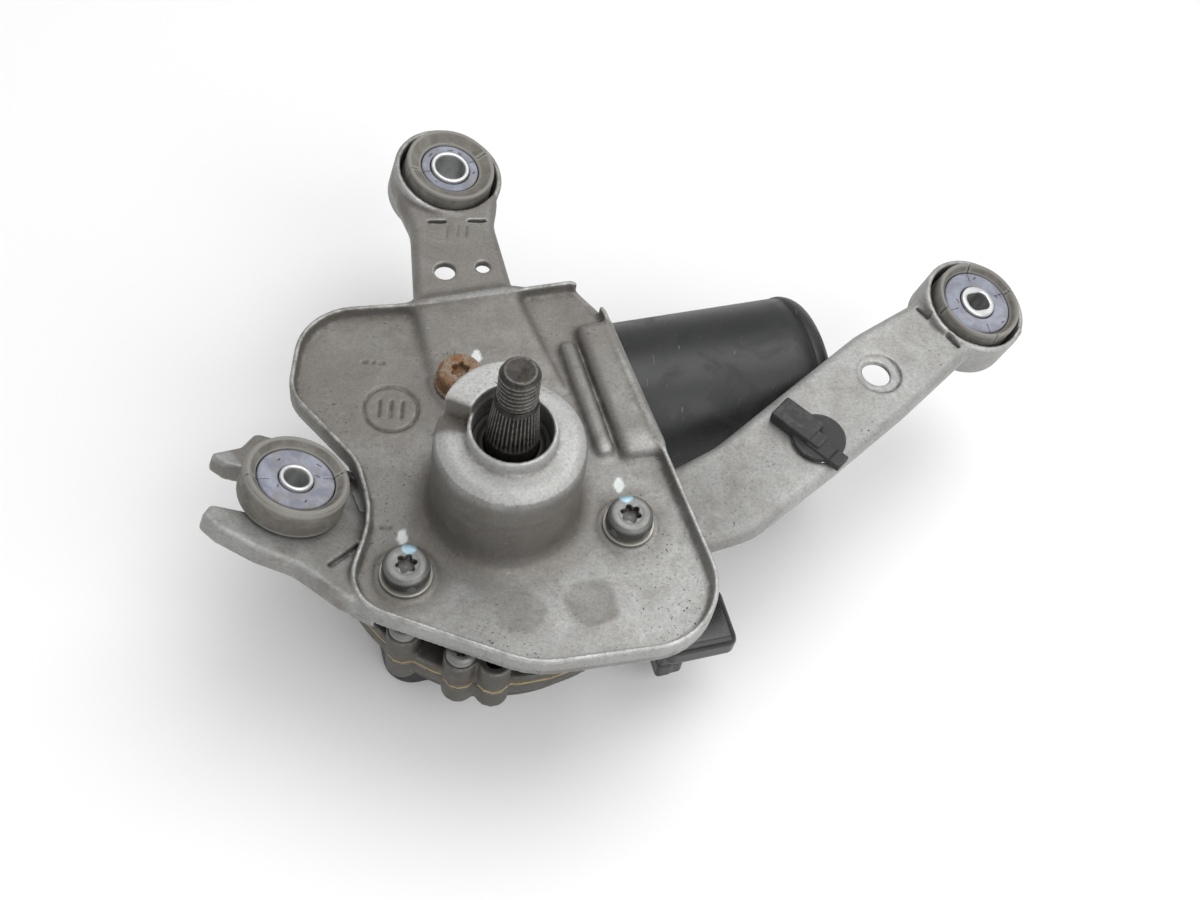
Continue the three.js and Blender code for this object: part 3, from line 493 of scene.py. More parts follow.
class Paint:
    """A node material round one Principled shader, with short names for its nodes."""

    def __init__(self, name, roughness=0.5, metallic=0.0, **sockets):
        self.material = bpy.data.materials.new(name)
        self.material.use_nodes = True
        self.tree = self.material.node_tree
        self.shader = self.tree.nodes["Principled BSDF"]
        self.shader.inputs["Roughness"].default_value = roughness
        self.shader.inputs["Metallic"].default_value = metallic
        for socket, value in sockets.items():
            self.shader.inputs[socket.replace("_", " ")].default_value = value
        self.place = self.node("ShaderNodeTexCoord").outputs["Object"]

    def node(self, kind, **values):
        made = self.tree.nodes.new(kind)
        for key, value in values.items():
            setattr(made, key, value)
        return made

    def feed(self, socket, value):
        if isinstance(value, bpy.types.NodeSocket):
            self.tree.links.new(value, socket)
        elif isinstance(value, tuple) and len(value) == 3 and socket.type == "RGBA":
            socket.default_value = (*value, 1)
        else:
            socket.default_value = value

    def layer(self, name):
        return self.node("ShaderNodeAttribute", attribute_name=name).outputs["Fac"]

    def noise(self, size, detail=4, rough=0.6, bend=0.0, stretch=None):
        """Noise whose features are about size millimetres across."""
        place = self.place
        if stretch:
            mapping = self.node("ShaderNodeMapping")
            mapping.inputs["Scale"].default_value = stretch
            self.feed(mapping.inputs["Vector"], place)
            place = mapping.outputs["Vector"]
        made = self.node("ShaderNodeTexNoise")
        self.feed(made.inputs["Vector"], place)
        made.inputs["Scale"].default_value = 1 / (size * MM)
        made.inputs["Detail"].default_value = detail
        made.inputs["Roughness"].default_value = rough
        made.inputs["Distortion"].default_value = bend
        return made.outputs["Fac"]

    def between(self, value, low, high, out_low=0.0, out_high=1.0):
        made = self.node("ShaderNodeMapRange", interpolation_type="SMOOTHSTEP")
        for key, number in (("Value", value), ("From Min", low), ("From Max", high),
                            ("To Min", out_low), ("To Max", out_high)):
            self.feed(made.inputs[key], number)
        return made.outputs["Result"]

    def patch(self, low, high, size, *how):
        """0 where noise of that size lies below low, 1 where it lies above high."""
        return self.between(self.noise(size, *how), low, high)

    def combine(self, a, b, operation="MULTIPLY"):
        made = self.node("ShaderNodeMath", operation=operation)
        self.feed(made.inputs[0], a)
        self.feed(made.inputs[1], b)
        return made.outputs["Value"]

    def mix(self, share, a, b):
        made = self.node("ShaderNodeMix", data_type="RGBA")
        self.feed(made.inputs[0], share)
        self.feed(made.inputs[6], a)
        self.feed(made.inputs[7], b)
        return made.outputs[2]

    def coat(self, colour, share, tone, amount):
        """The colour with a tone laid over it, by its share times an amount."""
        return self.mix(self.combine(share, amount), colour, tone)

    def colour(self, value):
        self.feed(self.shader.inputs["Base Color"], value)

    def rough(self, value):
        self.feed(self.shader.inputs["Roughness"], value)

    def bump(self, height, depth, strength=1.0):
        """Adds relief of that depth in millimetres."""
        made = self.node("ShaderNodeBump")
        made.inputs["Distance"].default_value = depth * MM
        made.inputs["Strength"].default_value = strength
        self.feed(made.inputs["Height"], height)
        normal = self.shader.inputs["Normal"]
        if normal.links:
            self.feed(made.inputs["Normal"], normal.links[0].from_socket)
        self.feed(normal, made.outputs["Normal"])


def cast_metal(name, pale, deep, stain, bright, marked=False):
    """Die-cast aluminium: mottled skin, brown film, pits, and bare metal on its edges; marked, it also takes
    painted shade and painted light.
    """
    paint = Paint(name, metallic=0.62)
    middle = paint.patch(0.32, 0.7, 5, 6, 0.65)
    colour = paint.mix(paint.patch(0.35, 0.68, 26, 5, 0.6, 0.4), deep, pale)
    colour = paint.coat(colour, middle, pale, 0.45)
    colour = paint.coat(colour, paint.patch(0.44, 0.66, 14, 7, 0.75, 0.8), stain, 0.62)
    if marked:
        # brown film, with painted shade where the marks put it
        colour = paint.coat(colour, paint.layer("film"), stain, 0.85)
        # cleaner bare metal, with painted light where the marks put it
        colour = paint.mix(paint.layer("clean"), colour, bright)
    colour = paint.coat(colour, paint.patch(0.3, 0.72, 0.8, 4, 0.7), (0.12, 0.108, 0.095), 0.32)
    # darker in hollows
    grime = paint.combine(paint.layer("grime"), paint.patch(0.3, 0.6, 3))
    colour = paint.coat(colour, grime, (0.075, 0.06, 0.048), 0.75)
    specks = paint.patch(0.64, 0.71, 0.7, 2, 0.5)
    speckled = paint.between(paint.noise(17, 3, 0.6, 0.6), 0.50, 0.68, 0.08, 0.9)
    if marked:
        speckled = paint.combine(speckled, paint.layer("speckle"), "MAXIMUM")
    colour = paint.coat(colour, specks, (0.05, 0.042, 0.035), speckled)
    scratch = paint.patch(0.70, 0.74, 3.0, 3, 0.5, 0.2, (1, 9, 3))
    colour = paint.coat(colour, scratch, bright, 0.35)
    rubbed = paint.between(paint.layer("wear"), 0.5, 1.15, 0, 0.65)
    worn = paint.combine(rubbed, paint.patch(0.36, 0.66, 6, 7, 0.8))
    colour = paint.mix(worn, colour, bright)
    if marked:
        colour = paint.mix(paint.layer("dab_white"), colour, (0.60, 0.63, 0.62))
        colour = paint.mix(paint.layer("dab_blue"), colour, BLUE_DAB)
    paint.colour(colour)
    dull = paint.between(middle, 0, 1, 0.5, 0.62)
    paint.rough(paint.combine(dull, paint.combine(worn, 0.24), "SUBTRACT"))
    paint.bump(paint.noise(1.4, 6, 0.75), 0.14, 0.85)
    paint.bump(specks, -0.08, 0.6)
    return paint.material


BLUE_DAB = (0.36, 0.52, 0.60)
ALUMINIUM = cast_metal("cast_aluminium", (0.385, 0.387, 0.378), (0.25, 0.251, 0.243), (0.185, 0.17, 0.15),
                       (0.60, 0.60, 0.59), marked=True)
# A much darker copy of the cast aluminium for the gear housing: dirt, and painted shade under the plate.
HOUSING_METAL_DIRT_AND_SHADE = cast_metal("housing_aluminium", (0.125, 0.124, 0.115), (0.07, 0.068, 0.06),
                           (0.06, 0.047, 0.032), (0.24, 0.236, 0.222))


def zinc_metal(name, base, dull, edge, rough=0.5):
    """Zinc-plated steel: powdery grey with bright edges."""
    paint = Paint(name, metallic=0.75)
    cloud = paint.patch(0.35, 0.65, 3, 6, 0.7)
    colour = paint.mix(cloud, dull, base)
    colour = paint.coat(colour, paint.patch(0.58, 0.7, 0.35, 3, 0.6), (0.10, 0.09, 0.08), 0.35)
    colour = paint.coat(colour, paint.layer("grime"), (0.09, 0.075, 0.06), 0.8)
    colour = paint.coat(colour, paint.between(paint.layer("wear"), 0.35, 0.9), edge, 0.7)
    paint.colour(paint.mix(paint.layer("dab_blue"), colour, BLUE_DAB))
    paint.rough(paint.between(cloud, 0, 1, rough - 0.06, rough + 0.1))
    paint.bump(paint.noise(0.6, 4, 0.6), 0.03)
    return paint.material


ZINC = zinc_metal("zinc_steel", (0.14, 0.142, 0.137), (0.095, 0.096, 0.09), (0.29, 0.29, 0.28))
WASHER_METAL = zinc_metal("washer_steel", (0.25, 0.24, 0.21), (0.16, 0.15, 0.125), (0.44, 0.43, 0.39), 0.45)
BRIGHT_ZINC = zinc_metal("sleeve_steel", (0.52, 0.53, 0.53), (0.36, 0.37, 0.37), (0.8, 0.8, 0.8), 0.4)


def rust():
    paint = Paint("rusty_steel", roughness=0.8, metallic=0.25)
    colour = paint.mix(paint.patch(0.38, 0.62, 2.6, 6, 0.7), (0.30, 0.25, 0.19), (0.25, 0.115, 0.045))
    paint.colour(paint.mix(paint.patch(0.52, 0.68, 0.5, 4, 0.6), colour, (0.10, 0.05, 0.025)))
    paint.bump(paint.noise(0.7, 6, 0.7), 0.12)
    return paint.material


def rubber(name, base, dust, shoulder):
    """Old moulded rubber: a dusty bloom, paler where it is rubbed, with fine crazing."""
    paint = Paint(name, roughness=0.72, Specular_IOR_Level=0.35)
    colour = paint.mix(paint.patch(0.35, 0.66, 6, 6, 0.7, 0.5), base, dust)
    colour = paint.coat(colour, paint.between(paint.layer("wear"), 0.06, 0.5), shoulder, 0.8)
    colour = paint.coat(colour, paint.layer("grime"), (0.02, 0.016, 0.013), 0.9)
    colour = paint.coat(colour, paint.patch(0.64, 0.72, 0.5, 3, 0.6), (0.05, 0.042, 0.035), 0.35)
    paint.colour(colour)
    paint.bump(paint.noise(0.9, 5, 0.65), 0.05)
    return paint.material


BROWN_RUBBER = rubber("brown_rubber", (0.125, 0.115, 0.10), (0.20, 0.19, 0.17), (0.26, 0.25, 0.23))
BLACK_RUBBER = rubber("black_rubber", (0.012, 0.011, 0.01), (0.035, 0.033, 0.03), (0.06, 0.057, 0.053))


def lavender():
    """The pale disc inside a rubber mount: chalky lavender, greyer with dirt."""
    paint = Paint("lavender_disc", roughness=0.66, Specular_IOR_Level=0.3)
    colour = paint.mix(paint.patch(0.34, 0.68, 5, 6, 0.65, 0.4), (0.20, 0.21, 0.255), (0.31, 0.325, 0.385))
    colour = paint.coat(colour, paint.patch(0.50, 0.68, 7, 5, 0.7, 1.2), (0.26, 0.235, 0.19), 0.6)
    colour = paint.coat(colour, paint.patch(0.66, 0.72, 0.8, 4, 0.7), (0.12, 0.10, 0.10), 0.6)
    colour = paint.coat(colour, paint.layer("grime"), (0.05, 0.04, 0.035), 0.9)
    paint.colour(colour)
    paint.bump(paint.noise(0.7, 5, 0.6), 0.04)
    return paint.material


def black_plastic(name, base, rub, rough, dusty):
    """Moulded or painted black: grey rub marks on its edges, a little dust, long faint scratches."""
    paint = Paint(name)
    haze = paint.patch(0.38, 0.7, 15, 6, 0.65, 0.6)
    colour = paint.coat(base, haze, rub, dusty)
    colour = paint.coat(colour, paint.patch(0.69, 0.74, 0.45, 3, 0.6), (0.22, 0.2, 0.18), dusty * 1.6)
    colour = paint.coat(colour, paint.patch(0.70, 0.735, 6, 3, 0.5, 0.3, (7, 1, 2)), (0.2, 0.2, 0.2), dusty)
    worn = paint.combine(paint.between(paint.layer("wear"), 0.3, 0.9), paint.patch(0.45, 0.65, 2, 4, 0.7))
    paint.colour(paint.coat(colour, worn, rub, 0.55))
    paint.rough(paint.between(haze, 0, 1, rough - 0.06, rough + 0.12))
    paint.bump(paint.noise(0.5, 4, 0.6), 0.02)
    return paint.material


CAN_PAINT = black_plastic("can_paint", (0.008, 0.0088, 0.0088), (0.028, 0.029, 0.0285), 0.46, 0.4)
CLIP_PLASTIC = black_plastic("clip_plastic", (0.02, 0.02, 0.021), (0.075, 0.073, 0.07), 0.62, 0.4)
GLOSS_PLASTIC = black_plastic("connector_plastic", (0.008, 0.008, 0.009), (0.045, 0.048, 0.055), 0.24, 0.12)
BOX_PLASTIC = black_plastic("box_plastic", (0.016, 0.016, 0.017), (0.06, 0.058, 0.055), 0.5, 0.3)


def oxide_steel():
    """The spindle's dark phosphate finish, rubbed grey on crests and edges."""
    paint = Paint("black_steel", metallic=0.55)
    cloud = paint.patch(0.36, 0.66, 1.6, 6, 0.7)
    colour = paint.mix(cloud, (0.022, 0.020, 0.018), (0.060, 0.054, 0.048))
    colour = paint.coat(colour, paint.patch(0.5, 0.7, 4, 4, 0.6, 0.5), (0.07, 0.05, 0.035), 0.5)
    rubbed = paint.combine(paint.layer("wear"), paint.patch(0.3, 0.6, 0.9, 4, 0.7))
    paint.colour(paint.mix(rubbed, colour, (0.21, 0.20, 0.19)))
    paint.rough(paint.between(cloud, 0, 1, 0.38, 0.52))
    paint.bump(paint.noise(0.3, 4, 0.6), 0.02)
    return paint.material


def plain(name, base, other, size, rough, metallic=0.0, relief=0.03):
    """Hidden and small pieces: two tones of one colour, with a matching grain."""
    paint = Paint(name, roughness=rough, metallic=metallic)
    colour = paint.mix(paint.patch(0.35, 0.66, size, 6, 0.7), base, other)
    dark = tuple(0.35 * c for c in base)
    paint.colour(paint.coat(colour, paint.patch(0.55, 0.7, size / 8, 4, 0.6), dark, 0.3))
    paint.bump(paint.noise(size / 4, 5, 0.65), relief)
    return paint.material


def frame_paints():
    """Materials for the CAD nodes that stay as they are."""
    steel = plain("plain_steel", (0.55, 0.55, 0.56), (0.38, 0.38, 0.39), 2.0, 0.32, 0.95)
    copper = plain("copper", (0.50, 0.20, 0.08), (0.34, 0.12, 0.05), 1.2, 0.38, 0.85, 0.1)
    ferrite = plain("ferrite", (0.05, 0.05, 0.055), (0.03, 0.03, 0.032), 1.5, 0.7, 0.1, 0.06)
    bronze = plain("bronze", (0.30, 0.20, 0.08), (0.20, 0.125, 0.05), 1.0, 0.5, 0.8, 0.05)
    acetal = plain("acetal", (0.75, 0.72, 0.62), (0.62, 0.58, 0.47), 6.0, 0.45)
    card = plain("brown_card", (0.12, 0.06, 0.025), (0.08, 0.04, 0.018), 2.0, 0.75)
    carbon = plain("carbon", (0.03, 0.03, 0.032), (0.055, 0.055, 0.06), 0.6, 0.6, 0.2)
    board = plain("board_green", (0.03, 0.12, 0.06), (0.02, 0.08, 0.045), 4.0, 0.5)
    gasket = plain("pale_gasket", (0.34, 0.27, 0.13), (0.20, 0.15, 0.07), 3.0, 0.6, 0.0, 0.1)
    for material, names in (
        (steel, ("connector_pin_1", "connector_pin_2", "connector_pin_3", "thrust_washer", "spindle_washer",
                 "front_bearing", "armature_shaft", "armature_core", "motor_screw_a", "motor_screw_b")),
        (copper, ("armature_windings", "commutator")), (ferrite, ("magnet_lower", "magnet_upper")),
        (bronze, ("spindle_bush_upper", "spindle_bush_lower", "rear_bearing")), (acetal, ("worm_wheel",)),
        (card, ("brush_card",)), (carbon, ("brush_a", "brush_b")), (board, ("circuit_board",)),
        (gasket, ("housing_gasket",)), (OXIDE, ("retaining_ring",)),
    ):
        for name in names:
            NODES[name].data.materials.clear()
            NODES[name].data.materials.append(material)


OXIDE = oxide_steel()
RUST = rust()
LAVENDER = lavender()
frame_paints()

# ---- mounting bracket ----


def arm(corners, top, depth):
    """An arm that is a channel open below: its shell, and the cuts that leave its walls."""
    low = top - depth - 2
    shell = prism(corners, top - depth, top, ARM_CROWN)
    return shell, (prism(inset(corners, -ARM_WALL), low, top - ARM_WALL, 0.8),
                   post(ARM_WALLS_FROM, low, -PLATE_T, 0.4))


def fork_shapes():
    """The fork under the left mount: its body, and the cuts for its grip, mouth, window and groove."""
    place = MOUNTS["left"] @ set_at(0, 0, -FORK_DROP)
    low, high = -FORK_HALF - 1, FORK_HALF + 1
    cuts = (
        post(FORK_GRIP_R, low, high).placed(place),
        brick((-30, -7.2, low), (0, 7.2, high), 0.3).placed(place),
        bar(12, 2.4, low, high, 0.1).placed(place @ set_at(17.6, 6.5, turn=-68)),
        bar(12, 1.4, FORK_HALF - 1.6, high, 0.1).placed(place @ set_at(15.4, -14.5, turn=50)),
    )
    return prism(FORK, -FORK_HALF, FORK_HALF, 1.3).placed(place), cuts


def above_wedge():
    """All that lies above the slope by which the top arm's back runs down into the floor."""
    lean = math.hypot(WEDGE_SLOPE, 1)
    return Shape(lambda x, y, z: (WEDGE_SLOPE * (y - WEDGE_FROM) - z) / lean + 0 * x,
                 (-40, 34, -2), (20, 66, 9))


def sector_shape():
    """The half-moon wall that stands on the boss."""
    first, last = map(math.radians, SECTOR_ENDS)

    def flat(x, y):
        r = np.hypot(x, y)
        ends = np.maximum(x * math.sin(first) - y * math.cos(first), y * math.cos(last) - x * math.sin(last))
        return np.maximum(np.maximum(r - SECTOR_R, COLLAR_R - 0.6 - r), ends)

    return upright(flat, (SECTOR_R, SECTOR_R), BOSS_TOP - 2, SECTOR_TOP, 0.25)


def boss_shape():
    edge = 3.2
    side = BOSS_R + 0.4
    shoulder = quarter(BOSS_R - edge, BOSS_TOP - edge, edge, edge, range(0, 91, 10))
    return revolved([(0, -PLATE_T), (side, -PLATE_T), (side, 0), *shoulder, (0, BOSS_TOP)])


def eye(name, top):
    """The cup at an arm's end, and the bores in it. Its top is measured from the sleeve's end."""
    place = MOUNTS[name]
    base = 2.0 - SLEEVE_LENGTH
    cuts = post(CUP_BORE_R, base + 2, top + 9), post(BUSH_R - 3, base - 2, top, 0.1)
    return post(CUP_R, base, top, 0.8).placed(place), [cut.placed(place) for cut in cuts]


MARK_RING = (-30.6, 26.7)  # an engraved ring round three bars
DASHES = [  # engraved strokes: x, y, length
    (-38.6, 41.5, 1.6), (-36.4, 41.5, 0.8), (-34.2, 41.5, 1.6), (10.6, 33.5, 1.8), (13.6, 33.0, 1.8),
    (11.4, 30.2, 1.6), (14.2, 29.7, 1.2), (-29.5, -9.5, 3.0), (-19, 86.8, 0.5), (-16.3, 87.2, 0.5),
    (-13.6, 87.6, 0.5),
]


def engraved_marks():
    x, y = MARK_RING
    cuts = [revolved([(6.8, -0.4), (7.5, -0.4), (7.5, 1), (6.8, 1)]).at(x, y)]
    cuts += [brick((x + d - 0.35, y - 2.8, -0.4), (x + d + 0.35, y + 2.8, 1), 0.1) for d in (-3, 0, 3)]
    for dx, dy, length in DASHES:
        on_arm = dy > 80
        low, tall = (TOP_ARM_TOP - 0.3, 2.2) if on_arm else (-0.4, 0.35)
        cuts.append(brick((dx - length / 2, dy - tall, low), (dx + length / 2, dy + tall, low + 1.2), 0.08))
    return cuts


BRACKET_GRID = ((-76, -50, -17), (154, 127, 39), 0.5)
THROUGH = (-22, 20)  # heights of a hole that goes through the plate or an arm
EYE_TOPS = {"top": -2.2, "right": -1.8}  # rims of the cups, from the sleeve's end
M6_HOLE_R = 3.2
SCREW_SEAT_R = 7.8
TOP_ARM_HOLES = ((-18.9, 72.5, 2.9), (-8.4, 75, 1.95))  # x, y, radius
TOP_ARM_SLOTS = ((-22.1, 90.2, 7), (-10.8, 91.7, 7))  # x, y, degrees
RIGHT_ARM_SLOTS = ((119.8, 73.9, -50), (127.6, 64.4, -50))
RIGHT_HOLE, RIGHT_HOLE_R = (103.9, 51.3), 4.1
COUNTERBORE, COUNTERBORE_R, COUNTERBORE_LEAN = (104.3, 51, ARM_TOP - 0.5), 6.8, 4
CLIP_HOLE, CLIP_HOLE_R = (85, 26.8), 7.0


def top_arm():
    """The top arm, whose back runs down a slope into the plate's floor."""
    shell, hollows = arm(TOP_ARM, TOP_ARM_TOP, ARM_DEPTH + 1)
    made = Casting(*BRACKET_GRID).join(shell, soft=0).cut(*hollows)
    made.join(prism(TOP_WEDGE, -4, TOP_ARM_TOP, 2.6), soft=2.5)
    return made.cut(above_wedge(), soft=1.5)


def dished_plate():
    """The right arm, the fork and the plate inside its rim, which has a notch by the top arm."""
    shell, hollows = arm(RIGHT_ARM, ARM_TOP, ARM_DEPTH)
    fork_body, fork_cuts = fork_shapes()
    made = Casting(*BRACKET_GRID).join(shell, soft=0).cut(*hollows)
    made.join(prism(FORK_ROOT, -8, 0, 0.8), fork_body, soft=2.0)
    made.join(prism(PLATE, -PLATE_T, RIM_H, 0.6), soft=1.2)
    made.cut(*fork_cuts, prism(inset(PLATE, RIM_W), 0, 24, 1.6))
    return made.cut(brick((-5, -5, 0.4), (5, 6, 6), 0.6).at(21.8, 67.5, turn=-46), soft=0.5)


def slot_holes(places, low, high):
    return [bar(5.4, 1.1, low, high, 0.1).at(x, y, turn=turn) for x, y, turn in places]


def drill(made):
    """The bracket's bore, holes and slots, and the room for the motor can under it."""
    made.cut(post(BORE_R, -8, 60, 0.1), soft=0.5)
    made.cut(*posts_at(SCREWS.values(), M6_HOLE_R, *THROUGH))
    made.cut(*(post(radius, *THROUGH).at(x, y) for x, y, radius in TOP_ARM_HOLES), soft=0.8)
    made.cut(*slot_holes(TOP_ARM_SLOTS, *THROUGH), *slot_holes(RIGHT_ARM_SLOTS, -6, 20), soft=0.2)
    made.cut(post(RIGHT_HOLE_R, *THROUGH).at(*RIGHT_HOLE), soft=0.6)
    leaning = set_at(*COUNTERBORE) @ Matrix.Rotation(math.radians(COUNTERBORE_LEAN), 4, "Y")
    made.cut(post(COUNTERBORE_R, 0, 20, 0.4).placed(leaning))
    made.cut(post(CLIP_HOLE_R, *THROUGH).at(*CLIP_HOLE), soft=0.8)
    return made.cut(post(CAN_R + 0.8, FLANGE[0] + 0.8, 114).placed(MOTOR), soft=0.6)


def bracket():
    made = dished_plate().merge(top_arm(), soft=3.6)
    cups, bores = zip(*(eye(name, top) for name, top in EYE_TOPS.items()))
    made.join(prism(PLATE, -PLATE_T, 0.1), soft=0)
    made.join(prism(PAD, -4, 4.3, 2.6), soft=2.0)
    made.join(prism(RIDGE, -2.5, 3.0, 1.9), soft=1.6)
    made.join(boss_shape(), soft=7.0)
    made.join(post(COLLAR_R, BOSS_TOP - 2, COLLAR_TOP, 0.35), soft=0.8)
    made.join(sector_shape())
    made.join(*cups, soft=1.2)
    made.join(*posts_at(SCREWS.values(), SCREW_SEAT_R, -PLATE_T, 0.4, 0.2), soft=0.8)
    made.cut(*engraved_marks(), soft=0.15)
    made.cut(*bores[0], *bores[1], soft=0.5)
    return drill(made)


def ramp(value, first, last):
    """0 up to first and 1 from last on, or the other way where last is the lower."""
    return np.clip((value - first) / (last - first), 0, 1)


def spot(points, x, y, inner, outer):
    """1 near a place on the plate, falling to 0."""
    return ramp(np.hypot(points[:, 0] - x, points[:, 1] - y), outer, inner)


WHITE_DABS = ((30.1, 7.6), (-25.0, -12.0), (-8.9, 44.8))  # paint dabs beside the screws
BLUE_DABS = ((31.0, 0.2), (-23.0, -18.6))


def blue_paint(points):
    return np.maximum.reduce([spot(points, *dab, 1.6, 2.1) for dab in BLUE_DABS])


def white_paint(points):
    x, y = points[:, 0], points[:, 1]
    ragged = 0.3 * np.sin(2.1 * x + 1.3) * np.cos(1.7 * y)
    far = [np.hypot((x - dx) * 1.3, (y - dy) * 0.75) + ragged for dx, dy in WHITE_DABS]
    return ramp(np.min(far, axis=0), 1.9, 1.4)


def bracket_marks(points):
    """Where the brown film and painted shade, the cleaner metal and painted light, the dark specks and the paint
    dabs lie.
    """
    x, y, z = points.T
    r = np.hypot(x, y)
    on_plate = (z > -0.6) & (z < 4.5)
    around = np.degrees(np.arctan2(y, x)) % 360
    # painted shade, with dark patina, on the sector wall's end face and the annulus below it
    sector_end_shade_and_patina = ramp(np.abs(around - 170), 13, 6.5) * ((z > 28) & (r > 10.4))
    ripple = np.stack([0.5 * np.sin(0.7 * y + 1), 0.4 * np.sin(0.9 * x)], axis=1)
    drops = points[:, :2] + ripple
    stains = np.maximum(spot(drops, 23, -27.6, 6, 7.4), 0.85 * spot(drops, 5.5, -31.2, 5.5, 7.2)) * (z > -0.6)
    film = np.maximum.reduce([
        0.85 * ramp(r, 15.5, 17) * ramp(r, 27, 22) * ramp(z, 28.5, 24.5) * (z > -1),  # the boss's side
        *(0.75 * spot(points, *screw, 9.5, 13.5) for screw in SCREWS.values()),
        0.75 * on_plate * ramp(y - 0.5 * x, -22, 43),  # the plate's far left, with painted shade
        0.75 * (z < -2) * ramp(x, -34, -46) * (y < 30),  # the fork
        0.45 * stains,
        sector_end_shade_and_patina,
    ])
    clean = np.maximum.reduce([
        0.62 * ((z > 29) & (r < 22)) * ramp(r, 10.2, 10.8),  # the boss's top
        0.3 * ramp(x, 52, 82),  # the right arm
        0.35 * on_plate * ramp(0.7 * x - y, 12, 62),  # the plate's near right, with painted light
        0.55 * spot(points, 106.5, 49.5, 6, 10.5) * (0.6 + 0.4 * np.sin(2.3 * x + 1.1 * y)),
        # painted highlights at the pad's lower end
        0.5 * on_plate * np.maximum(spot(points, 36.5, 18, 2, 7), spot(points, 26.5, 17, 1, 4)),
    ])
    return {
        "film": film,
        "clean": clean * (1 - sector_end_shade_and_patina) * (1 - stains),
        "speckle": on_plate * np.maximum(spot(points, 44, -28, 4, 17), spot(points, -46, 24, 3, 12)),
        "dab_white": on_plate * white_paint(points),
        "dab_blue": on_plate * blue_paint(points),
    }


cast_piece("bracket_casting", bracket(), ALUMINIUM, "cast_aluminium", "mounting_bracket", marks=bracket_marks)

# ---- gear housing ----

HOUSING_R = 43.0
CUP_OUTER_R = 37.4
CUP_INNER_R = 35.3
LID_TOP = -14.0
LID_BOTTOM = -17.0
CUP_RIM = -18.1
FLANGE_BOTTOM = -22.5
HOUSING_FLOOR = -38.3
NECK_R = 9.5
NECK_TOP = 22.0
LUG_TOP = -7.5
LUG_R = 4.4
SCREWED_LUGS = [centre_mm(f"housing_screw_{i}")[:2] for i in range(1, 5)]
HOLLOW_LUG = (0.0, -np.hypot(*SCREWED_LUGS[0]))
LUGS = [*SCREWED_LUGS, HOLLOW_LUG]
LUG_HOLE_R = 2.3
NECK_BORE_R = 7.6
RIB_TURNS = {"lid": range(12, 372, 45), "cup": range(195, 360, 22)}  # degrees
TUNNEL_RIBS = (-20, -4, 12, 28)  # along the motor's axis
EAR_OFFSET = 21.5  # of the screws that hold the can
TUNNEL_R = 10.0
TUNNEL_FROM = -32.0


def tunnel_block(low, high, soft=0.5):
    side = TUNNEL_R + 2
    return brick((TUNNEL_FROM, MOTOR_OFFSET - side, low), (FLANGE[0] + 1, MOTOR_OFFSET + side, high),
                 soft).placed(YAW)


def housing_lid():
    made = Casting((-47, -47, -18), (52, 62, 23), 0.55)
    made.join(post(HOUSING_R, LID_BOTTOM, LID_TOP, 0.6), tunnel_block(LID_BOTTOM, LID_TOP))
    made.join(*posts_at(LUGS, LUG_R, LID_BOTTOM, LUG_TOP, 0.4), soft=1.2)
    made.join(post(NECK_R, LID_BOTTOM, NECK_TOP, 0.4), soft=8.0)
    made.join(*posts_at(SCREWS.values(), 6.5, LID_BOTTOM, -PLATE_T - GAP, 0.4), soft=2.0)
    rib = bar(30, 2.2, LID_TOP - 1, LID_TOP + 2.5, 0.6)
    made.join(*(rib.placed(out_at(turn, 26)) for turn in RIB_TURNS["lid"]), soft=1.2)
    made.cut(post(CAN_R + 0.5, FLANGE[0] - GAP, 108, 0.1).placed(MOTOR))
    made.cut(post(NECK_BORE_R, -30, 40, 0.1))
    made.cut(*posts_at(LUGS, LUG_HOLE_R, LID_BOTTOM - 1, LUG_TOP + 2, 0.1), soft=0.3)
    return made.cut(*posts_at(SCREWS.values(), M6_HOLE_R, LID_BOTTOM - 1, 2, 0.1), soft=0.3)


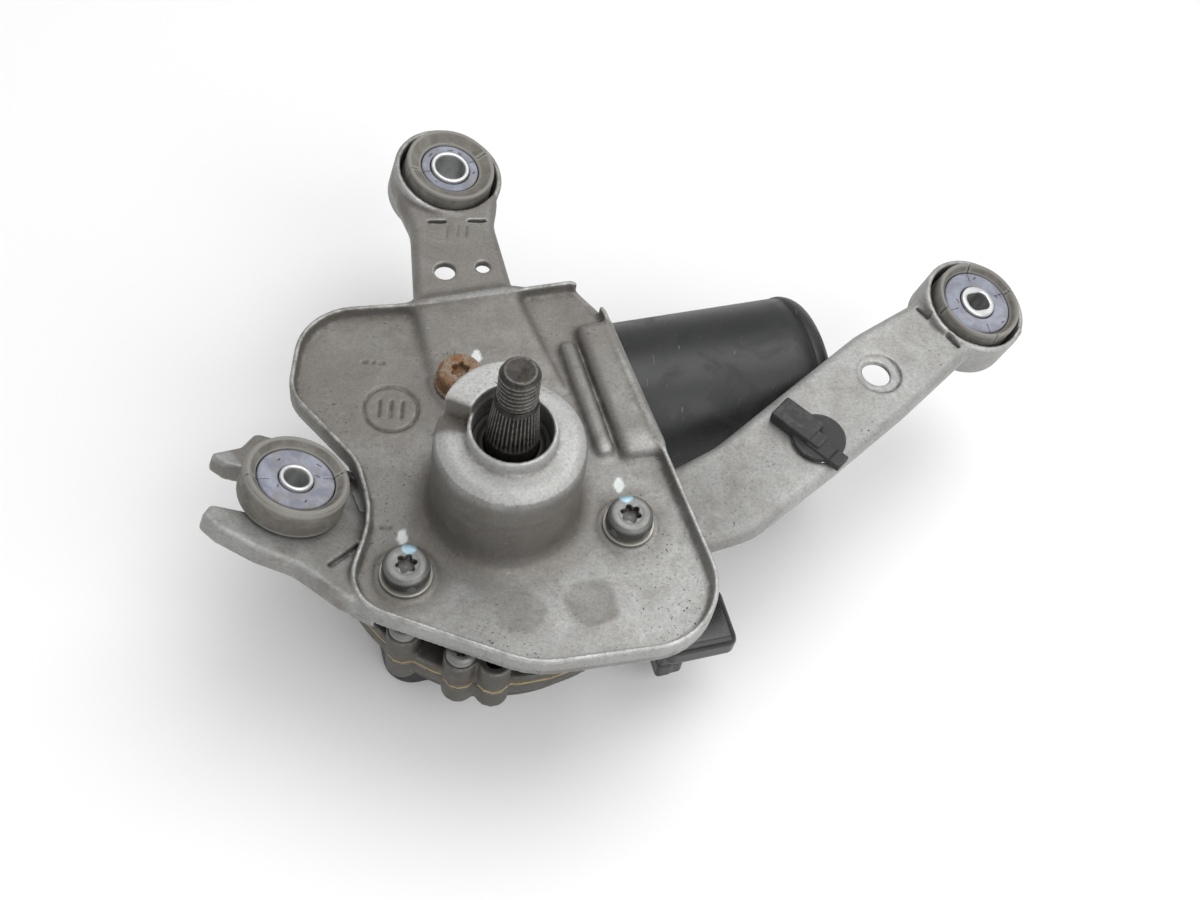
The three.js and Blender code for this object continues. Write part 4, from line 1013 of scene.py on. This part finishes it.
def housing_cup():
    made = Casting((-47, -47, -58), (56, 76, -18), 0.6)
    axis_z = MOTOR_POINT.z
    made.join(post(CUP_OUTER_R, HOUSING_FLOOR, CUP_RIM, 2.2), soft=1)
    made.join(post(HOUSING_R, FLANGE_BOTTOM, CUP_RIM, 0.6), tunnel_block(axis_z, CUP_RIM, 1.0), soft=1.5)
    made.join(post(TUNNEL_R, TUNNEL_FROM, FLANGE[0] + 1, 1.5).placed(MOTOR), soft=2.5)
    made.join(post(CAN_R - 0.3, *FLANGE, 0.6).placed(MOTOR), soft=2.0)
    made.join(*posts_at(LUGS, LUG_R, CUP_RIM - 8, CUP_RIM, 0.4), soft=1.5)
    rib = brick((-3.5, -0.9, HOUSING_FLOOR + 8), (0.6, 0.9, FLANGE_BOTTOM + 1), 0.5)
    made.join(*(rib.placed(out_at(turn, 39)) for turn in RIB_TURNS["cup"]), soft=1.2)
    for along in TUNNEL_RIBS:
        low = (along - 1, MOTOR_OFFSET - 5, axis_z - TUNNEL_R - 1.2)
        high = (along + 1, MOTOR_OFFSET + TUNNEL_R + 1.2, axis_z + 6)
        made.join(brick(low, high, 0.6).placed(YAW), soft=1.2)
    made.cut(post(CUP_INNER_R, HOUSING_FLOOR + 2.2, 0, 0.8))
    made.cut(post(8.4, TUNNEL_FROM + 2, 60, 0.2).placed(MOTOR), post(9.3, 27, 60, 0.2).placed(MOTOR))
    made.cut(post(7, HOUSING_FLOOR - 3, HOUSING_FLOOR + 6, 0.1).at(0, -18))
    made.cut(*posts_at(LUGS, LUG_HOLE_R, CUP_RIM - 6, 0, 0.1), soft=0.3)
    ears = posts_at(((-EAR_OFFSET, 0), (EAR_OFFSET, 0)), LUG_HOLE_R, 30, 50, 0.1)
    return made.cut(*(ear.placed(MOTOR) for ear in ears), soft=0.3)


cast_piece("housing_lid_casting", housing_lid(), HOUSING_METAL_DIRT_AND_SHADE, "housing_aluminium", "gear_housing_top")
cast_piece("housing_cup_casting", housing_cup(), HOUSING_METAL_DIRT_AND_SHADE, "housing_aluminium", "gear_housing")

# ---- rubber mounts ----

FACE = 1.2  # rubber face above the sleeve's end
BUSH_DEPTH = 17.0
BUSH_FOOT_R = 9.6
BUSH_LIP_R = 12.7
DISC_R = {"left": 9.8, "top": 8.3, "right": 10.3}
SLEEVES = {"left": (4.3, 3.2), "top": (5.6, 4.4), "right": (5.2, 3.8)}  # outer and bore radius
SPLITS = {"left": (20, 196), "top": (35, 200), "right": (28, 100, 205, 290)}  # degrees round the face


def rubber_body(name, sleeve_r):
    """One rubber bushing: a shouldered body, a lip round the disc, and torn splits across the lip."""
    held = name != "left"  # in a cup; the left one is gripped by the fork round its waist
    back = FACE - BUSH_DEPTH
    seat = DISC_R[name] + GAP
    foot = BUSH_FOOT_R
    waist = BUSH_R - 0.1 if held else foot
    wall = BUSH_R - 0.3 if held else BUSH_R + 0.25
    lower = back + (4 if held else 1)
    upper = FACE - (6 if held else 9.2)
    lip = BUSH_LIP_R
    profile = [
        (sleeve_r + GAP, back), (foot - 0.2, back), (foot, back + 0.4), (foot, lower - 0.4), (waist, lower),
        (waist, upper), (wall, upper + 0.6), (wall, FACE - 2.4), (wall - 0.12, FACE - 1.2),
        (lip + 0.1, FACE - 0.35), (lip - 0.25, FACE), (lip - 0.7, FACE - 0.15), (seat + 0.3, FACE - 1.75),
        (seat, FACE - 2), (seat, FACE - 4.2), (sleeve_r + GAP, FACE - 4.2),
    ]
    made = Casting((-14.2, -14.2, back - 0.3), (14.2, 14.2, FACE + 0.4), 0.3).join(revolved(profile), soft=0)
    tear = brick((-2.8, -0.12, -2.6), (2.6, 0.12, 3), 0.05)
    return made.cut(*(tear.placed(out_at(turn, 12.2)) for turn in SPLITS[name]), soft=0.25)


def disc_body(name, sleeve_r, seed):
    """The disc: nicked near its edge, with short tears that run in from the splits."""
    top = FACE - 1.9
    edge = DISC_R[name]
    ring = [(sleeve_r + GAP, top - 2), (edge, top - 2), (edge, top - 0.35), (edge - 0.3, top),
            (sleeve_r + 0.6, top), (sleeve_r + GAP, top - 0.3)]
    made = Casting((-10.6, -10.6, top - 2.3), (10.6, 10.6, top + 0.3), 0.2).join(revolved(ring), soft=0)
    random = np.random.default_rng(seed)
    for turn in SPLITS[name]:
        place = out_at(turn + random.uniform(-4, 4), edge - 1.3)
        made.cut(brick((-1.6, -0.1, top - 1), (2, 0.1, top + 1), 0.04).placed(place), soft=0.2)
    for _ in range(5):
        turn, out = random.uniform(0, 360), random.uniform(sleeve_r + 0.9, edge - 0.8)
        place = out_at(turn, out) @ Matrix.Rotation(random.uniform(0.7, 2.4), 4, "Z")
        nick = bar(random.uniform(1.0, 2.0), 0.3, top - 0.35, top + 1, 0.05)
        made.cut(nick.placed(place), soft=0.2)
    return made


def sleeve_body(sleeve_r, bore, oblong):
    made = Casting((-6.4, -6.4, -SLEEVE_LENGTH - 0.2), (6.4, 6.4, 0.2), 0.22)
    made.join(post(sleeve_r, -SLEEVE_LENGTH, 0, 0.45), soft=0)
    if not oblong:
        return made.cut(post(bore, -30, 10, 0.1), soft=0.6)
    wide, tall = bore * 0.93, bore * 0.7626
    return made.cut(brick((-wide, -tall, -30), (wide, tall, 10), 2.2).at(0, 0, turn=22), soft=0.3)


for seed, (name, place) in enumerate(MOUNTS.items(), 11):
    outer, bore = SLEEVES[name]
    cast_piece("bushing_rubber_" + name, rubber_body(name, outer), BROWN_RUBBER, "brown_rubber",
               "bushing_" + name, place)
    cast_piece("bushing_face_" + name, disc_body(name, outer, seed), LAVENDER, "lavender_disc",
               "bushing_disc_" + name, place)
    cast_piece("spacer_sleeve_" + name, sleeve_body(outer, bore, name == "right"), BRIGHT_ZINC, "zinc_steel",
               "sleeve_" + name, place)

# ---- screws and washers ----


def star_recess(radius, waist, low, high, soft):
    """A six-lobed socket."""
    def flat(x, y):
        lobe = (0.5 + 0.5 * np.cos(np.arctan2(y, x) * 6)) ** 0.8
        return np.hypot(x, y) - (waist + (radius - waist) * lobe)

    return upright(flat, (radius + 0.3, radius + 0.3), low, high, soft)


HEAD_TOP = 5.0
HEAD_R = 6.0
SHANK_R = 2.9
SOCKET_DEPTH = 2.3


def star_screw():
    """An M6 screw with a domed head on a narrow collar."""
    made = Casting((-6.4, -6.4, -19.7), (6.4, 6.4, HEAD_TOP + 0.2), 0.2)
    top = HEAD_TOP
    dome = quarter(4.2, top - 1.6, 1.75, 1.6, range(0, 91, 15))
    made.join(revolved([
        (0, -19.5), (2.5, -19.5), (SHANK_R, -19), (SHANK_R, GAP), (HEAD_R - 0.2, GAP), (HEAD_R, GAP + 0.3),
        (HEAD_R + 0.1, 1.6), (HEAD_R, 2.8), *dome, (3.4, top), (3.1, top - 0.12), (0, top - 0.12),
    ]), soft=0)
    return made.cut(star_recess(2.7, 1.9, top - SOCKET_DEPTH, top + 2, 0.1), soft=0.35)


def washer(inner, outer, low, high):
    made = Casting((-outer - 0.3, -outer - 0.3, low - 0.3), (outer + 0.3, outer + 0.3, high + 0.3), 0.2)
    made.join(post(outer, low, high, 0.25), soft=0)
    return made.cut(post(inner, low - 1, high + 1, 0.05), soft=0.2)


def lid_screw():
    """A small pan-head housing screw with a star recess."""
    profile = [(0, -15), (1.9, -15), (2, -14.6), (2, 0), (3.7, 0), (3.8, 0.3), (3.8, 1.2), (3.3, 1.9),
               (2.6, 2.2), (0, 2.2)]
    made = Casting((-4.1, -4.1, -15.2), (4.1, 4.1, 2.4), 0.2).join(revolved(profile), soft=0)
    return made.cut(star_recess(1.7, 1.2, 0.9, 4, 0.05), soft=0.2)


for name, (x, y) in SCREWS.items():
    washer_look, screw_look, slot = WASHER_METAL, ZINC, "zinc_steel"
    if name == "rear":
        washer_look, screw_look, slot = RUST, RUST, "rusty_steel"
    low, high = (corner[2] - FLOOR_Z for corner in box_mm("washer_" + name))
    cast_piece("washer_ring_" + name, washer(M6_HOLE_R, 6.8, low, high), washer_look, slot, "washer_" + name,
               set_at(x, y))
    cast_piece("star_screw_" + name, star_screw(), screw_look, slot, "torx_screw_" + name,
               set_at(x, y, high, turn=x * 7), marks=lambda points: {"dab_blue": blue_paint(points)})

for i, (x, y) in enumerate(SCREWED_LUGS, 1):
    cast_piece(f"lid_screw_{i}", lid_screw(), ZINC, "zinc_steel", f"housing_screw_{i}",
               set_at(x, y, LUG_TOP + GAP))

# ---- spindle ----

SPINDLE_R = 6.0
SPINDLE_TOP = -FLOOR_Z
SPINDLE_COLUMNS = 288
KNURL_Z = (33.0, 46.0)
KNURL_R = 6.6  # at its foot; the cone narrows by KNURL_TAPER
KNURL_TAPER = 1.25
KNURL_TEETH = 36
THREAD_R = 5.0
THREAD_PITCH = 1.5
THREAD_DEPTH = 0.85
THREAD_FROM = SPINDLE_TOP - 11.5
THREAD_TIP = 1.15  # how much narrower the thread is at its very end
KNURL_ROW, THREAD_ROW = 1.0, 2.0  # stand-in radii for rows that spindle_radius works out


def spindle_rows():
    """(radius, height) from the hidden foot up to the end face, with a groove for the ring."""
    foot = box_mm("output_spindle")[0][2] - FLOOR_Z
    rows = [(0.01, foot), (SPINDLE_R - 0.5, foot), (SPINDLE_R, foot + 0.5), (SPINDLE_R, 22.6), (5.2, 22.65),
            (5.2, 23.8), (SPINDLE_R, 23.85), (SPINDLE_R + 0.6, 26), (SPINDLE_R + 0.6, KNURL_Z[0] - 0.4)]
    rows += [(KNURL_ROW, z) for z in np.linspace(*KNURL_Z, 40)]
    rows += [(THREAD_R - THREAD_DEPTH + 0.05, z) for z in np.linspace(KNURL_Z[1] + 0.1, THREAD_FROM, 4)]
    top = SPINDLE_TOP
    rows += [(THREAD_ROW, z) for z in np.arange(THREAD_FROM + 0.1, top - 0.05, 0.1)]
    return rows + [(THREAD_R - THREAD_TIP, top - 0.02), (THREAD_R - 1.3, top), (3.2, top), (1.6, top - 0.12),
                   (0.5, top - 0.3), (0.01, top - 0.45)]


def up_knurl(height):
    """0 at the cone's foot and 1 at its top."""
    return (height - KNURL_Z[0]) / (KNURL_Z[1] - KNURL_Z[0])


def spindle_radius(radius, angle, height):
    out = np.broadcast_to(radius, np.broadcast(radius, angle).shape).copy()
    up = up_knurl(height)
    groove = np.abs((angle * KNURL_TEETH / (2 * np.pi)) % 1 - 0.5) * 2
    ends = np.clip(np.minimum(up, 1 - up) * 14, 0, 1)
    knurl = KNURL_R - KNURL_TAPER * up - 0.62 * np.clip(groove * 1.5 - 0.35, 0, 1) * ends
    out = np.where(radius == KNURL_ROW, knurl, out)
    turns = height / THREAD_PITCH - angle / (2 * np.pi)
    wave = np.clip(np.abs(2 * (turns % 1) - 1) * 1.25 - 0.1, 0, 1)
    tip = ramp(height, SPINDLE_TOP, SPINDLE_TOP - 1.2)
    deep = THREAD_DEPTH * (1 - wave * ramp(height, THREAD_FROM, THREAD_FROM + 1.4))
    thread = np.minimum(THREAD_R - deep, THREAD_R - THREAD_TIP * (1 - tip))
    return np.where(radius == THREAD_ROW, thread, out)


def spindle_wear(points):
    """Bare crests on the knurl and the thread, and a bare edge round the end face."""
    x, y, z = points.T
    r = np.hypot(x, y)
    knurl = KNURL_R - KNURL_TAPER * up_knurl(z)
    crest = 0.75 * ramp(r, knurl - 0.2, knurl - 0.02) * ((z > KNURL_Z[0]) & (z < KNURL_Z[1]))
    thread = 0.9 * ramp(r, THREAD_R - 0.3, THREAD_R - 0.05) * (z > THREAD_FROM)
    edge = 0.8 * ramp(np.abs(r - 3.75), 0.3, 0) * (z > SPINDLE_TOP - 0.1)
    return np.maximum.reduce([crest, thread, edge])


def add_spindle():
    points, quads = lathe(spindle_rows(), SPINDLE_COLUMNS, spindle_radius)
    foot = np.arange(SPINDLE_COLUMNS)[::-1]
    end = np.arange(len(points) - SPINDLE_COLUMNS, len(points))
    piece("spindle_shaft", points, [*quads, foot, end], OXIDE, "black_steel", "output_spindle",
          body="spindle", marks={"wear": spindle_wear(points)})


def seal_body():
    lip = [(7.6, 25.2), (9.7, 25.2), (9.7, 28.8), (9.5, 29), (9.0, 29), (8.6, 28.7), (7.9, 28.0), (7.2, 28.2),
           (6.95, 28.1), (6.95, 27)]
    return Casting((-10, -10, 24.8), (10, 10, 29.4), 0.22).join(revolved(lip), soft=0)


add_spindle()
cast_piece("seal_ring", seal_body(), BLACK_RUBBER, "black_rubber", "spindle_seal")

# ---- motor can ----

CAN_START = 40.8
CAN_END = 106.0
CAN_WALL = 1.5
CAN_COLUMNS = 144
NOSE_R = 9.0  # the rear bearing's housing on the can's end


def can_rows():
    """The can's outline from inside its mouth, over the outside, round the nose, and back inside."""
    inner, wall, start, end = CAN_R - CAN_WALL, CAN_R - 0.35, CAN_START, CAN_END
    bore = NOSE_R - 1.5
    rows = [(inner, end - 6.5), (inner, start + 0.2), (inner + 0.3, start), (wall, start),
            (CAN_R, start + 0.35), (CAN_R, start + 2.6), (wall, start + 3.0)]
    rows += [(wall, z) for z in np.linspace(start + 6, end - 10, 24)]
    rows += [(wall, end - 6.4), (CAN_R - 0.6, end - 6.2), (CAN_R - 0.6, end - 5.9), (CAN_R - 0.1, end - 5.7)]
    corner = 5.0
    rows += quarter(CAN_R - corner, end - corner - 0.7, corner, corner + 0.7, range(10, 91, 8))
    return rows + [
        (15, end), (10.5, end), (NOSE_R + 0.4, end + 0.3), (NOSE_R, end + 0.9), (NOSE_R, end + 2.4),
        (NOSE_R - 0.5, end + 3.3), (7.4, end + 3.9), (6.4, end + 4), (0.01, end + 4), (0.01, end + 2.5),
        (bore, end + 2.5), (bore, end - 1.5), (inner - 4.8, end - 1.5), (inner - 1.2, end - 3.2),
    ]


def add_can():
    points, quads = lathe(can_rows(), CAN_COLUMNS)
    last = len(points) - CAN_COLUMNS
    close = np.arange(CAN_COLUMNS)
    around = (close + 1) % CAN_COLUMNS
    seam = np.stack([last + close, last + around, around, close], axis=1)
    x, y, z = points.T
    r = np.hypot(x, y)
    bead = (np.abs(z - (CAN_END - 5.7)) < 0.1) | (np.abs(z - CAN_START - 2.7) < 0.4)
    shoulder = (z > CAN_END - 4) & (r > 22) & (r < CAN_R - 1)
    piece("can_shell", moved(points, MOTOR), np.concatenate([quads, seam]), CAN_PAINT, "can_paint",
          "motor_can", marks={"wear": 0.25 * bead + 0.4 * shoulder})


add_can()

# ---- cable clip, electronics box and connector ----


CLIP_R = 7.5


def clip_body():
    """The clip: a round plug with a stem, a hollow block that holds the cable, and a stepped tongue."""
    base = ARM_TOP + GAP
    top = ARM_TOP + 4.2
    made = Casting((-7.9, -10.6, ARM_TOP - 9.3), (7.9, 14.2, top + 0.3), 0.25)
    made.join(post(CLIP_R, base, base + 1.6, 0.4), soft=0)
    made.join(post(3, ARM_TOP - 9, base + 1, 0.4), soft=0.6)
    made.join(brick((-4.8, 0.8, base), (3, 13.6, top), 0.5), soft=0.3)
    made.join(brick((-5, -10, base), (-0.2, 1.2, base + 2.4), 0.4), soft=0.3)
    made.join(brick((-4.4, -2.4, base), (0.4, 1.2, base + 3.3), 0.4), soft=0.3)
    made.cut(brick((-3.4, 0, base + 1), (1.6, 15, top - 1.2), 0.2), soft=0.3)
    made.cut(brick((2.5, 2.4, base + 1.4), (3.6, 12.2, top - 1), 0.1), soft=0.3)
    made.cut(brick((-5.6, -6.6, base + 1.9), (0.4, -6.2, top), 0.05), soft=0.2)
    return made


cast_piece("cable_clip_moulding", clip_body(), CLIP_PLASTIC, "black_plastic", "cable_clip",
           set_at(*CLIP_HOLE, turn=50))

BOX = [(-33, -19, 8), (34, -19, 8), (34, 11, 4), (26, 22, 6), (-33, 22, 8)]
BOX_BOTTOM = -58.0
SHROUD = ((38.5, -38.2, -38.5), (58.7, -21.0, -29.5))  # beside the cup, in the motor's yaw frame
NECK = ((29.0, -16.0, -50.0), (46.0, -8.0, -43.0))


def box_body():
    top = HOUSING_FLOOR - GAP
    made = Casting((-34, -20, BOX_BOTTOM - 0.3), (35, 23, top + 0.3), 0.5)
    made.join(prism(BOX, BOX_BOTTOM, top, 1.6), prism(BOX, top - 2.4, top))
    made.cut(prism(inset(BOX, 6), BOX_BOTTOM - 2, BOX_BOTTOM + 0.8, 0.3), soft=0.5)
    for along in range(-18, 21, 6):
        rib = brick((along - 0.7, -11.5, BOX_BOTTOM), (along + 0.7, 14.5, BOX_BOTTOM + 1.4), 0.3)
        made.join(rib, soft=0.4)
    made.cut(prism(inset(BOX, 2), BOX_BOTTOM + 2.6, top + 5))
    (_, y0, z0), (_, y1, z1) = NECK
    return made.cut(brick((28, y0 - GAP, z0 - GAP), (36, y1 + GAP, z1 + GAP), 0.2), soft=0.3)


def connector_body():
    (x0, y0, z0), (x1, y1, z1) = SHROUD
    low, high = NECK[0][2], NECK[1][2]
    made = Casting((28.5, y0 - 0.4, low - 0.4), (x1 + 0.4, -7.6, z1 + 0.4), 0.3)
    made.join(brick(*NECK, 0.6))
    made.join(brick((x0, y0 + 3, low), (NECK[1][0], -8, high), 1.2), soft=1.0)
    made.join(brick((x0, y0 + 3, low), (x0 + 4, y1, z1 - 1.6), 0.8), soft=1.0)
    made.join(brick(*SHROUD, 2.6), soft=0.8)
    return made.cut(brick((x0 + 4, y0 + 1.6, z0 + 1.6), (x1 + 3, y1 - 1.6, z1 - 1.6), 0.4))


cast_piece("electronics_cover", box_body(), BOX_PLASTIC, "black_plastic", "electronics_box", YAW)
cast_piece("connector_shroud", connector_body(), GLOSS_PLASTIC, "black_plastic", "connector_housing", YAW)

# ---- camera, light and floor ----

CAMERA_AT = (-17.4, -214.7, 294.1)
CAMERA_RIGHT = (0.9928, 0.0002, 0.1200)
CAMERA_DOWN = (0.0661, -0.8359, -0.5449)
CAMERA_FORWARD = (0.1002, 0.5489, -0.8299)
LIGHT_SIZE = 800
LIGHT_TARGET = (0, 0, -60)


def add_camera():
    data = bpy.data.cameras.new("camera")
    data.lens = 48
    data.sensor_width = 36
    data.clip_start = 0.01
    made = add_object("camera", data)
    turn = Matrix((CAMERA_RIGHT, [-v for v in CAMERA_DOWN], [-v for v in CAMERA_FORWARD])).transposed()
    made.matrix_world = Matrix.Translation(Vector(CAMERA_AT) * MM) @ turn.to_4x4()
    bpy.context.scene.camera = made


def add_light(name, place, power):
    data = bpy.data.lights.new(name, "AREA")
    data.shape = "DISK"
    data.size = LIGHT_SIZE * MM
    data.energy = power
    made = add_object(name, data)
    made.location = Vector(place) * MM
    aim = Vector(LIGHT_TARGET) * MM - made.location
    made.rotation_mode = "QUATERNION"
    made.rotation_quaternion = aim.to_track_quat("-Z", "Y")


def add_stage():
    half = 6.0
    z = cad_box[0].z
    mesh = bpy.data.meshes.new("floor")
    corners = [(x * half, y * half, z) for x, y in ((-1, -1), (1, -1), (1, 1), (-1, 1))]
    mesh.from_pydata(corners, [], [(0, 1, 2, 3)])
    paint = Paint("floor_paper", roughness=0.9)
    paint.colour(paint.mix(paint.noise(300, 2), (0.90, 0.90, 0.90), (0.93, 0.93, 0.93)))
    mesh.materials.append(paint.material)
    add_object("floor", mesh)


def add_world():
    world = bpy.data.worlds.new("studio")
    world.use_nodes = True
    background = world.node_tree.nodes["Background"]
    background.inputs["Color"].default_value = (1, 1, 1, 1)
    background.inputs["Strength"].default_value = 0.62
    bpy.context.scene.world = world


add_camera()
add_light("key", (250, 300, 850), 4.6)
add_light("fill", (450, -500, 550), 3.4)
add_stage()
add_world()
bpy.context.scene.view_settings.view_transform = "Standard"
